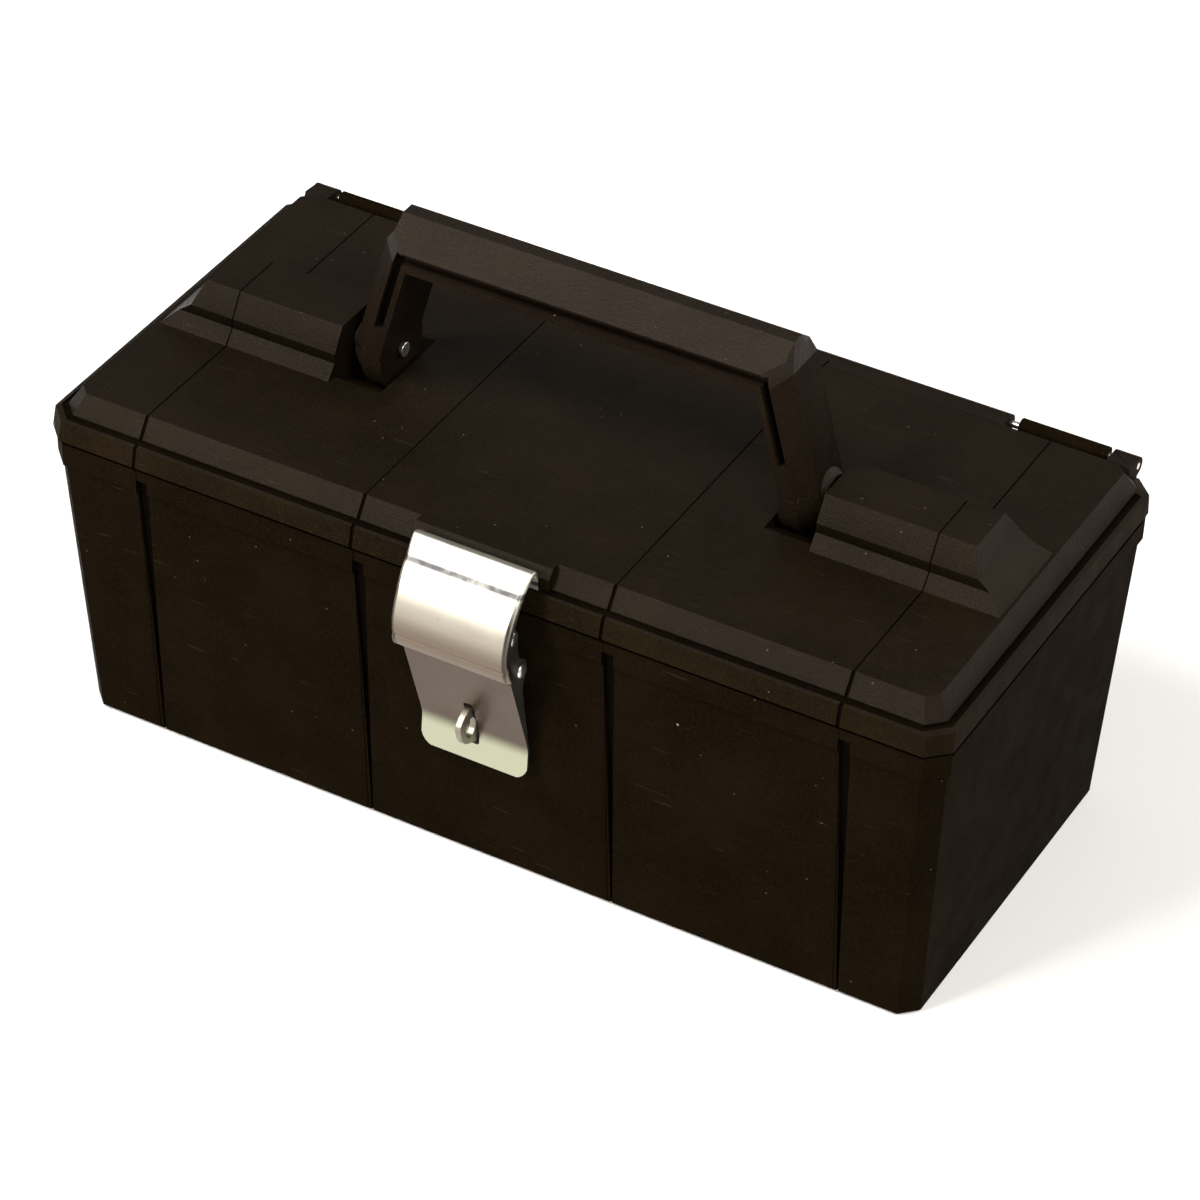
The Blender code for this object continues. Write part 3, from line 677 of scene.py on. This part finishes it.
def ledge_groove():
    """The cutter of the dark step between the rim and the lid's slope; its cut faces take painted shade."""
    path = open_ring(*LID_RINGS[2][:4])
    return prism(band(path, *LEDGE_REACH), *LEDGE_Z, "Z")


def make_lid():
    rows = [ring(*LID_RINGS[i][:4], z, WALL) for i, z in LID_INNER]
    rows += [ring(*row) for row in LID_RINGS]
    tools = [("DIFFERENCE", ledge_groove(), "shade")] + hinge_tools()
    for low, high in both(*POCKET_X):
        skin = pocket_outline(POCKET_R + SKIN, LID_TOP_Z - 2 * GAP)
        tools.append(("UNION", prism(skin, low - SKIN, high + SKIN)))
        tools.append(("DIFFERENCE", prism(pocket_outline(POCKET_R, LID_TOP_Z + 2 * GAP), low, high)))
    for sign in (1, -1):
        tools.append(("UNION", boss(BOSS_RINGS, BOSS_INNER_X, sign)))
        tools.append(("DIFFERENCE", boss(BOSS_HOLLOW, BOSS_HOLLOW_X, sign)))
    tools.append(("UNION", prism(STRIKE, -STRIKE_X, STRIKE_X)))
    for low, high in both(*PIN_BORE_X):
        tools.append(("DIFFERENCE", rod(PIN_HOLE_R, low, high, *PIVOT)))
    for x in LINE_X:
        # painted shade lines the thin grooves across the lid, darker still on the rim and front slope
        tools.append(("DIFFERENCE", lid_line(x, *LID_LINE), "shade"))
        tools.append(("DIFFERENCE", slope_line(x, *SLOPE_LINE), "grime"))
    # painted shade on the boss bands, painted light on the lid's other upright faces
    return piece("lid", loft(rows), "lid", "shell_plastic", ["lid_shell"], tools, width=0.5,
                 paints=[("shade", boss_band), ("upright_lit_plastic", upright)])


def hinge_tools():
    """The lid's hinge barrel along the back, its two end knuckles and the bores for the pins."""
    tools = []
    for low, high in [(-LID_BARREL_X, LID_BARREL_X), *both(*LID_KNUCKLE_X)]:
        tools.append(("UNION", prism(LID_WEB, low, high)))
        tools.append(("UNION", rod(HINGE_R, low, high, *HINGE)))
    for low, high in both(*LID_BORE_X):
        tools.append(("DIFFERENCE", rod(HINGE_HOLE_R, low, high, *HINGE, sides=32)))
    return tools


# ---------------------------------------------------------------- handle

REF_Z = 156.2          # where the half widths below are measured
SPLAY = 0.27           # how much the arms lean out for each millimetre down
OUT_X = 81.7
OPENING_X = 69.6
OPENING_TOP_Z = 177.7
FOOT_R = 13.4
FOOT_EDGE_R = 8.0
FOOT_X = (73.6, 80.4, 86.6)
FOOT_SIDES = 64
HANDLE_RINGS = (       # y from the pivot, top z, side inset
    (-13.4, 184.8, 6.4),
    (-8.0, 188.9, 0.0),
    (-2.6, 193.0, 0.0),
    (2.6, 193.0, 0.0),
    (8.0, 188.9, 0.0),
    (13.4, 184.8, 6.4),
)
KNEE_Z = 185.0         # where the arms bend in to the grip
KNEE_DROP = 4.0        # the least height of a slice's crown over its knee
CROWN_INSET = 2.0      # how far the crown at least stands in from the arms, and how far over the knee
CROWN_X = 71.0         # half width of the grip's flat top
ARM_GROOVE = ((5.4, 184.2), (2.2, 180.1))          # growth from the opening, top z
ARM_GROOVE_LOW_Z = 152.6
ARM_GROOVE_DEPTH = 4.2
HANDLE_CUT = 20.0      # half depth of the opening's cutter
OPENING_LOW_Z = 120.0
HANDLE_BORE_X = (60.0, 90.0)
GRIP_PIN_X = (73.0, 99.0)
PIN_HEAD_X = (71.8, 73.2)
PIN_HEAD_R = 2.6
BUSHING_X = (86.95, 88.7)
BUSHING_R = 5.4


def splayed(x, z):
    return x + SPLAY * (REF_Z - z)


def handle_row(y, top, inset):
    """One slice of the handle's outer shape, from foot to foot over the grip."""
    knee = min(top - KNEE_DROP, KNEE_Z)
    crown = min(splayed(OUT_X, KNEE_Z + CROWN_INSET) - inset - CROWN_INSET, CROWN_X)
    half = [(splayed(OUT_X, PIVOT[1]) - inset, PIVOT[1]), (splayed(OUT_X, knee) - inset, knee), (crown, top)]
    outline = half + [(-x, z) for x, z in reversed(half)]
    return [Vector((x, PIVOT[0] + y, z)) for x, z in outline]


def opening(grow, top, low):
    """A trapezoid like the hand opening, grown outwards."""
    wide, narrow = splayed(OPENING_X, low) + grow, splayed(OPENING_X, top) + grow
    return [(-wide, low), (wide, low), (narrow, top), (-narrow, top)]


def groove_outline():
    outer, inner = (opening(*sizes, ARM_GROOVE_LOW_Z) for sizes in ARM_GROOVE)
    return [outer[0], outer[3], outer[2], outer[1], inner[1], inner[2], inner[3], inner[0]]


def foot(sign):
    """A disc round the pivot whose outer edge is coned like the arm's."""
    py, pz = PIVOT
    rows = []
    for x, radius in zip(FOOT_X, (FOOT_R, FOOT_R, FOOT_EDGE_R)):
        turns = [math.tau * i / FOOT_SIDES for i in range(FOOT_SIDES)]
        rows.append([Vector((sign * x, py + radius * math.cos(a), pz + radius * math.sin(a))) for a in turns])
    return loft(rows)


def make_handle():
    py = PIVOT[0]
    hand = opening(0.0, OPENING_TOP_Z, OPENING_LOW_Z)
    tools = [("DIFFERENCE", prism(hand, py - HANDLE_CUT, py + HANDLE_CUT, "Y"))]
    tools += [("UNION", foot(sign)) for sign in (1, -1)]
    for side in (-1, 1):
        span = sorted((py + side * (FOOT_R - ARM_GROOVE_DEPTH), py + side * HANDLE_CUT))
        tools.append(("DIFFERENCE", prism(groove_outline(), *span, "Y")))
    for span in both(*HANDLE_BORE_X):
        tools.append(("DIFFERENCE", rod(PIN_HOLE_R, *span, *PIVOT)))
    return piece("handle", loft([handle_row(*row) for row in HANDLE_RINGS]), "handle", "handle_plastic",
                 ["carry_handle"], tools, width=0.8, paints=[("handle_side", upright)])


def make_handle_pins():
    for side, sign in (("right", 1), ("left", -1)):
        spans = (GRIP_PIN_X, PIN_HEAD_X, BUSHING_X)
        shank, head, bushing = (sorted(sign * x for x in span) for span in spans)
        piece(f"grip_pin_{side}", rod(PIN_R, *shank, *PIVOT), "lid", "zinc_steel", [f"handle_pin_{side}"],
              [("UNION", rod(PIN_HEAD_R, *head, *PIVOT))], width=0.4)
        hole = rod(PIN_HOLE_R, bushing[0] - 1, bushing[1] + 1, *PIVOT)
        piece(f"grip_bushing_{side}", rod(BUSHING_R, *bushing, *PIVOT), "lid", "zinc_steel",
              [f"handle_bushing_{side}"], [("DIFFERENCE", hole)], width=0.3)


# ---------------------------------------------------------------- latch

SHEET = 1.0
EAR_X = (13.6, 14.8)
TAB_X = (16.0, 17.2)
LEVER_X = (18.6, 19.8)
COVER_X = 22.0
COVER_PATH = ((-74.8, 123.9), (-75.1, 129.0), (-76.3, 131.4), (-78.4, 132.0), (-80.2, 130.9), (-82.6, 128.4),
              (-86.5, 124.6), (-89.0, 121.2), (-91.2, 117.4), (-93.1, 112.8), (-94.1, 108.8), (-94.2, 104.9),
              (-93.9, 102.6), (-93.2, 101.6), (-93.4, 100.4), (-92.9, 98.6), (-92.2, 96.9))
TAB_OUTLINE = ((-79.4, 94.4), (-80.9, 92.7), (-83.0, 92.6), (-84.6, 95.0), (-93.4, 109.2), (-93.2, 112.0),
               (-92.0, 112.6), (-80.6, 97.6), (-79.4, 96.6))
LEVER_PATH = ((-88.0, 93.0), (-76.6, 58.8), (-77.6, 46.8))
LEVER_FLANGE = ((-88.0, 93.6), (-77.0, 60.4), (-76.4, 61.6), (-78.8, 75.0), (-80.8, 87.0), (-79.6, 90.6),
                (-78.2, 93.4), (-78.4, 97.0), (-80.8, 99.2), (-83.0, 100.4), (-84.0, 105.0), (-84.2, 110.4),
                (-85.2, 113.8), (-87.5, 115.2), (-90.0, 114.2), (-91.2, 111.4), (-91.2, 106.0),
                (-90.4, 100.4), (-88.8, 95.4))
EAR_TOP = ((-78.2, 105.0), (-84.6, 113.6), (-86.6, 114.8), (-89.4, 113.8), (-90.6, 111.2),
           (-89.8, 108.8), (-85.0, 101.6), (-79.6, 90.6))
LEVER_SLOT = (1.75, 53.6, 73.2)
STAPLE_OUTLINE = ((-75.0, 54.2), (-84.4, 58.6), (-86.9, 62.6), (-88.0, 67.0), (-85.6, 69.8),
                  (-81.8, 71.6), (-76.2, 71.4))
STAPLE_EYE = (-81.0, 63.4, 2.9, 3.7)
BRACKET_Z = (54.5, 103.6)
ROLL_R = 1.5           # radius of the cover's rolled side edges
ROLL_DEPTH = 2.0       # how far they reach back, past the sheet
ROLL_INNER = (0.5, 3.3)                # its inner curve: from the sheet's inner face, and from the edge
ROLL_START = (0.30, 0.15)              # where down the cover the roll begins, and over what share it grows
WAIST = (1.0, 0.2)     # how far the cover narrows, and where down it the narrowing begins
PIVOT_HOLE_R = 1.58
ACROSS = 30.0          # half length of a cutter that runs right across the latch
BRACKET_HOLES_Y = (-90.0, -60.0)       # from in front of the bracket to behind it
PLATE_HOLES_Y = (-80, -55)             # and the same for the backing plate
LATCH_Y = (-92.0, -70.0)               # from in front of the lever to behind it
TAB_CORNER = (14.2, 52.6, 5.8, 6.2)    # x and z of the curve's start, its half width and height
TAB_CUT = (22.0, 44.0, -84.0, -72.0)   # outer x, low z, front y, back y
EAR_LOW_Z = 88.0
STAPLE_HALF = 1.1
EYE_SIDES = 32
EYE_REACH = 3.0
PIVOT_RIVETS = (       # name, body, pivot, inner end, thickness of the inner head
    ("lever_rivet", "base", LEVER_PIVOT, 12.4, 0.9),
    ("hook_rivet", "latch_lever", HOOK_PIVOT, 14.9, 0.8),
)
RIVET_END_X = 20.2
RIVET_R = (1.5, 2.5, 1.1)              # shank, head, height of the dome
WALL_RIVET_R = (1.6, 3.0, 0.8, 1.0)    # shank, head, height of the outer and inner dome
RIVET_HOLE_R = 1.7
DOME_RINGS = 5
DOME_SIDES = 24
DOME_CLOSE = 0.92      # how nearly the dome's top ring closes
BACKING = (15.0, 57.0, 103.0, 1.2)     # half width, low z, high z, thickness
HINGE_PIN_R = 1.2
HINGE_PIN_X = (99.0, 157.0)
RIVET_X = 9.0
RIVET_Z = (65.0, 97.0)


def rivet_places():
    return [(x, z) for x in (-RIVET_X, RIVET_X) for z in RIVET_Z]


def smooth_path(points, steps=4):
    """A Catmull-Rom curve through the points."""
    ends = [points[0], *points, points[-1]]
    made = []
    for a, b, c, d in zip(ends, ends[1:], ends[2:], ends[3:]):
        for k in range(steps):
            t = k / steps
            made.append(tuple(
                0.5 * (2 * q + (r - p) * t + (2 * p - 5 * q + 4 * r - s) * t * t
                       + (3 * q - p - 3 * r + s) * t ** 3)
                for p, q, r, s in zip(a, b, c, d)))
    made.append(tuple(points[-1]))
    return made


def cover_section(half, roll):
    """(x, depth) round the cover's bent sheet: flat in the middle, its two edges rolled back."""
    radius = min(roll, ROLL_R)
    outer = [(half, roll)]
    outer += [(half - radius + radius * math.cos(a), radius - radius * math.sin(a))
              for a in [math.radians(15 * i) for i in range(7)]]
    near, far = ROLL_INNER
    inner = [(half - SHEET, roll), (half - SHEET - near, max(roll * 0.5, SHEET)), (half - far, SHEET)]
    return outer + [(-x, d) for x, d in outer[::-1] + inner] + inner[::-1]


def make_cover():
    path = smooth_path(COVER_PATH)
    start, grows = ROLL_START
    waist, waist_start = WAIST
    rows = []
    for i, (y, z) in enumerate(path):
        before, after = path[max(i - 1, 0)], path[min(i + 1, len(path) - 1)]
        along = Vector((after[0] - before[0], after[1] - before[1])).normalized()
        normal = Vector((-along.y, along.x))
        share = i / (len(path) - 1)
        roll = SHEET + ROLL_DEPTH * min(max((share - start) / grows, 0.0), 1.0)
        half = COVER_X - waist * math.sin(math.pi * max(share - waist_start, 0.0) / (1 - waist_start))
        rows.append([Vector((x, y + normal.x * d, z + normal.y * d)) for x, d in cover_section(half, roll)])
    tools = [("UNION", prism(rounded(TAB_OUTLINE, 1.2), *span)) for span in both(*TAB_X)]
    tools.append(("DIFFERENCE", rod(PIVOT_HOLE_R, -ACROSS, ACROSS, *HOOK_PIVOT)))
    return piece("latch_cover", loft(rows), "latch_hook", "zinc_steel", ["latch_hook"], tools, width=0.2,
                 segments=2, angle=40, look="cover_steel")


def make_lever():
    path = rounded(LEVER_PATH, 2.5, closed=False)
    tools = [("UNION", prism(rounded(LEVER_FLANGE, 1.5), *span)) for span in both(*LEVER_X)]
    for pivot in (LEVER_PIVOT, HOOK_PIVOT):
        tools.append(("DIFFERENCE", rod(PIVOT_HOLE_R, -ACROSS, ACROSS, *pivot)))
    half, low, high = LEVER_SLOT
    slot = rounded([(-half, low), (half, low), (half, high), (-half, high)], 1.2)
    tools.append(("DIFFERENCE", prism(slot, *LATCH_Y, "Y")))
    x, z, wide, tall = TAB_CORNER
    outer, low, front, back = TAB_CUT
    for sign in (1, -1):
        curve = [(sign * (x + wide * math.sin(a)), z - tall * math.cos(a))
                 for a in [math.radians(15 * i) for i in range(7)]]
        corner = [(sign * x, low), (sign * outer, low), (sign * outer, z), *curve[::-1]]
        tools.append(("DIFFERENCE", prism(corner, front, back, "Y")))
    # the lever takes a painted reflection, and its side faces take painted shade
    return piece("latch_pull", prism(band(path, SHEET), -LEVER_X[1], LEVER_X[1]), "latch_lever", "zinc_steel",
                 ["latch_lever"], tools, width=0.25, segments=2, look="lever_painted_reflection",
                 paints=[("flange_shaded_steel", sideways)])


def make_bracket():
    low, high = BRACKET_Z
    y_low, y_high = -tub_depth(low) - GAP, -tub_depth(high) - GAP
    plate = [(y_low, low), (y_high, high), (y_high - SHEET, high), (y_low - SHEET, low)]
    behind = GAP + 0.1
    ear = [(-tub_depth(EAR_LOW_Z) - behind, EAR_LOW_Z), (-tub_depth(high) - behind, high - 0.1), *EAR_TOP]
    tools = [("UNION", prism(rounded(ear, 1.0), *span)) for span in both(*EAR_X)]
    tools.append(("DIFFERENCE", rod(PIVOT_HOLE_R, -ACROSS, ACROSS, *LEVER_PIVOT)))
    for x, z in rivet_places():
        tools.append(("DIFFERENCE", rod(RIVET_HOLE_R, *BRACKET_HOLES_Y, x, z, "Y")))
    piece("latch_base", prism(plate, -EAR_X[1], EAR_X[1]), "base", "zinc_steel", ["latch_bracket"], tools,
          width=0.2, segments=2)


def make_staple():
    y, z, half_y, half_z = STAPLE_EYE
    turns = [math.tau * i / EYE_SIDES for i in range(EYE_SIDES)]
    eye = [(y + half_y * math.cos(a), z + half_z * math.sin(a)) for a in turns]
    piece("staple", prism(rounded(STAPLE_OUTLINE, 1.6), -STAPLE_HALF, STAPLE_HALF), "base", "zinc_steel",
          ["padlock_staple"], [("DIFFERENCE", prism(eye, -EYE_REACH, EYE_REACH))], width=0.3,
          look="dull_steel")


def dome(radius, height, base, a, b, axis, way):
    """A low domed rivet head that starts at base and points along axis in the direction way."""
    rows = []
    for k in range(DOME_RINGS + 1):
        t = k / DOME_RINGS
        r = radius * math.cos(t * math.pi / 2 * DOME_CLOSE)
        along = base + way * height * math.sin(t * math.pi / 2)
        row = []
        for i in range(DOME_SIDES):
            c, s = r * math.cos(math.tau * i / DOME_SIDES), r * math.sin(math.tau * i / DOME_SIDES)
            row.append(Vector((along, a + c, b + s)) if axis == "X" else Vector((a + c, along, b + s)))
        rows.append(row)
    return loft(rows)


def make_pivot_rivets():
    shank_r, head_r, height = RIVET_R
    for name, body, pivot, inner, thick in PIVOT_RIVETS:
        for side, sign in (("right", 1), ("left", -1)):
            shank = sorted((sign * (inner + 0.4), sign * RIVET_END_X))
            back = sorted((sign * inner, sign * (inner + thick)))
            heads = [("UNION", rod(head_r, *back, *pivot)),
                     ("UNION", dome(head_r, height, sign * (RIVET_END_X - 0.25), *pivot, "X", sign))]
            piece(f"{name}_{side}_dome", rod(shank_r, *shank, *pivot), body, "zinc_steel", [f"{name}_{side}"],
                  heads, width=0.12, segments=2)


def make_wall_rivets():
    """The rivets through the bracket and the wall, and the backing plate inside."""
    half, low, high, thick = BACKING
    shank_r, head_r, outer_height, inner_height = WALL_RIVET_R
    for i, (x, z) in enumerate(rivet_places(), 1):
        wall = -tub_depth(z)
        outer, inner = wall - 2 * GAP - SHEET, wall + WALL + thick + 2 * GAP
        heads = [("UNION", dome(head_r, outer_height, outer - 0.05, x, z, "Y", -1)),
                 ("UNION", dome(head_r, inner_height, inner + 0.05, x, z, "Y", 1))]
        piece(f"wall_rivet_{i}", rod(shank_r, outer - GAP, inner + GAP, x, z, "Y"), "base", "zinc_steel",
              [f"bracket_rivet_{i}"], heads, width=0.12, segments=2)
    y_low, y_high = -tub_depth(low) + WALL + GAP, -tub_depth(high) + WALL + GAP
    plate = [(y_low, low), (y_high, high), (y_high + thick, high), (y_low + thick, low)]
    holes = [("DIFFERENCE", rod(RIVET_HOLE_R, *PLATE_HOLES_Y, x, z, "Y")) for x, z in rivet_places()]
    piece("backing_plate", prism(plate, -half, half), "base", "zinc_steel", ["latch_backing_plate"],
          holes, width=0.2, segments=2)


def make_hinge_pins():
    for side, (low, high) in zip(("right", "left"), both(*HINGE_PIN_X)):
        piece(f"hinge_rod_{side}", rod(HINGE_PIN_R, low, high, *HINGE, sides=32), "base", "zinc_steel",
              [f"hinge_pin_{side}"], width=0.2, segments=2)


# ---------------------------------------------------------------- tray

TRAY_RINGS = (         # half length, front y, back y, chamfer, z
    (146.5, -62.6, 63.2, 5.0, 62.0),
    (150.6, -66.4, 67.0, 6.0, 106.0),
)
TRAY_WALL = 1.8
TRAY_MID_Y = 0.4
TRAY_MID = (148.0, 0.9, 98.0)          # half length, half thickness and top of the middle wall
GRIP_OUTLINE = ((-44.0, 0.0), (44.0, 0.0), (44.0, 96.0), (36.0, 108.6), (-36.0, 108.6), (-44.0, 96.0))
GRIP_HOLE = ((-34.0, 80.0), (34.0, 80.0), (34.0, 96.0), (29.0, 101.0), (-29.0, 101.0), (-34.0, 96.0))
GRIP_HALF = 3.2
GRIP_CORNER_R = 4.0
GRIP_HOLE_REACH = 8
BACK_WALL = (62.0, 0.8, 65.0)          # distance from the middle, half thickness, back y
INNER_START = 0.8      # how far into the tray's floor its inner walls start
RIB_X = (1.1, 2.1)     # the ribs that hold a divider, from its middle
RIB_TOP_Z = 96.0
RIB_Y = ((-66.0, -60.0), (-4.6, TRAY_MID_Y - 0.5))
DIVIDER_X = (-50.0, 50.0)
DIVIDER_HALF = 0.75
DIVIDER_LOW_Z = TRAY_RINGS[0][4] + TRAY_WALL + GAP
DIVIDER_OUTLINE = ((-60.4, DIVIDER_LOW_Z), (-3.2, DIVIDER_LOW_Z), (-3.2, 94.0), (-63.4, 94.0))


def make_tray():
    low, high = TRAY_RINGS
    rows = [ring(*low), ring(*high), ring(*high, TRAY_WALL), ring(*low[:4], low[4] + TRAY_WALL, TRAY_WALL)]
    floor = low[4] + INNER_START
    half, mid_half, mid_top = TRAY_MID
    grip = [(x, max(z, floor)) for x, z in GRIP_OUTLINE]
    tools = [
        ("UNION", box((-half, TRAY_MID_Y - mid_half, floor), (half, TRAY_MID_Y + mid_half, mid_top))),
        ("UNION", prism(rounded(grip, GRIP_CORNER_R), TRAY_MID_Y - GRIP_HALF, TRAY_MID_Y + GRIP_HALF, "Y")),
        ("DIFFERENCE", prism(rounded(GRIP_HOLE, GRIP_CORNER_R), TRAY_MID_Y - GRIP_HOLE_REACH,
                             TRAY_MID_Y + GRIP_HOLE_REACH, "Y")),
    ]
    away, wall_half, back = BACK_WALL
    for x in (-away, away):
        tools.append(("UNION", box((x - wall_half, TRAY_MID_Y, floor), (x + wall_half, back, RIB_TOP_Z))))
    for x in DIVIDER_X:
        for side in (-1, 1):
            near, far = sorted((x + side * RIB_X[0], x + side * RIB_X[1]))
            for y_low, y_high in RIB_Y:
                tools.append(("UNION", box((near, y_low, floor), (far, y_high, RIB_TOP_Z))))
    piece("tray", loft(rows), "tray", "tray_plastic", ["tool_tray"], tools, width=0.35, segments=2)
    for side, x in zip(("left", "right"), DIVIDER_X):
        divider = prism(rounded(DIVIDER_OUTLINE, 1.5), x - DIVIDER_HALF, x + DIVIDER_HALF)
        piece(f"divider_{side}", divider, "tray", "tray_plastic", [f"tray_divider_{side}"],
              width=0.2, segments=2)


# ---------------------------------------------------------------- stage

CAMERA_PLACE = (0.6116, -1.1145 + Y_SHIFT * MM, 1.0427)
CAMERA_RIGHT = (0.86650, 0.49892, 0.01595)
CAMERA_UP = (-0.31762, 0.52643, 0.78866)
CAMERA_BACK = (0.38508, -0.68844, 0.61462)
CAMERA_LENS = 144.71
CAMERA_SHIFT = (0.0322, 0.0173)
SENSOR = 36.0
WORLD_STRENGTH = 0.29
CLIP_END = 20.0        # metres
FLOOR_HALF = 6.0       # metres
PAPER = ((0.86, 0.86, 0.86, 1), (0.88, 0.88, 0.88, 1))
LIGHTS = (             # name, place, target, size, watts, color
    ("key", (-0.73, -1.55, 0.92), (0, 0, 0.12), (0.48, 0.42), 28, (1.0, 0.96, 0.91)),
    ("over", (-0.73, -0.78, 1.72), (0, 0, 0.12), (0.48, 0.48), 30, (1.0, 0.98, 0.95)),
    ("wash", (1.5, -0.9, 1.9), (0.5, 0.1, 0), (1.2, 1.2), 50, (1.0, 0.97, 0.92)),
    ("far", (1.25, 1.55, 1.15), (0.1, 0.1, 0.1), (1.4, 1.0), 21, (1.0, 0.94, 0.85)),
)


def make_camera():
    data = bpy.data.cameras.new("camera")
    data.lens = CAMERA_LENS
    data.sensor_width = SENSOR
    data.shift_x, data.shift_y = CAMERA_SHIFT
    data.clip_end = CLIP_END
    camera = bpy.data.objects.new("camera", data)
    bpy.context.scene.collection.objects.link(camera)
    turn = Matrix((CAMERA_RIGHT, CAMERA_UP, CAMERA_BACK)).transposed().to_4x4()
    camera.matrix_world = Matrix.Translation(CAMERA_PLACE) @ turn
    bpy.context.scene.camera = camera


def area_light(name, place, target, size, watts, color):
    data = bpy.data.lights.new(name, "AREA")
    data.shape = "RECTANGLE"
    data.size, data.size_y = size
    data.energy = watts
    data.color = color
    light = bpy.data.objects.new(name, data)
    bpy.context.scene.collection.objects.link(light)
    light.location = place
    light.rotation_euler = (Vector(target) - Vector(place)).to_track_quat("-Z", "Y").to_euler()


def make_floor():
    bm = bmesh.new()
    bmesh.ops.create_grid(bm, x_segments=1, y_segments=1, size=FLOOR_HALF)
    mesh = bpy.data.meshes.new("floor")
    bm.to_mesh(mesh)
    bm.free()
    floor = bpy.data.objects.new("floor", mesh)
    bpy.context.scene.collection.objects.link(floor)
    n = Nodes("floor_paper")
    n.shader.inputs["Roughness"].default_value = 0.9
    n.shader.inputs["Specular IOR Level"].default_value = 0.1
    n.put(n.shader.inputs["Base Color"], n.mix(n.noise(6.0), *PAPER))
    mesh.materials.append(n.material)


def make_stage():
    make_floor()
    world = bpy.data.worlds.new("studio")
    world.use_nodes = True
    background = world.node_tree.nodes["Background"]
    background.inputs["Color"].default_value = (1.0, 1.0, 1.0, 1)
    background.inputs["Strength"].default_value = WORLD_STRENGTH
    bpy.context.scene.world = world
    bpy.context.scene.view_settings.view_transform = "Standard"
    for light in LIGHTS:
        area_light(*light)


make_tub()
make_lid()
make_handle()
make_handle_pins()
make_cover()
make_lever()
make_bracket()
make_staple()
make_pivot_rivets()
make_wall_rivets()
make_hinge_pins()
make_tray()
make_camera()
make_stage()
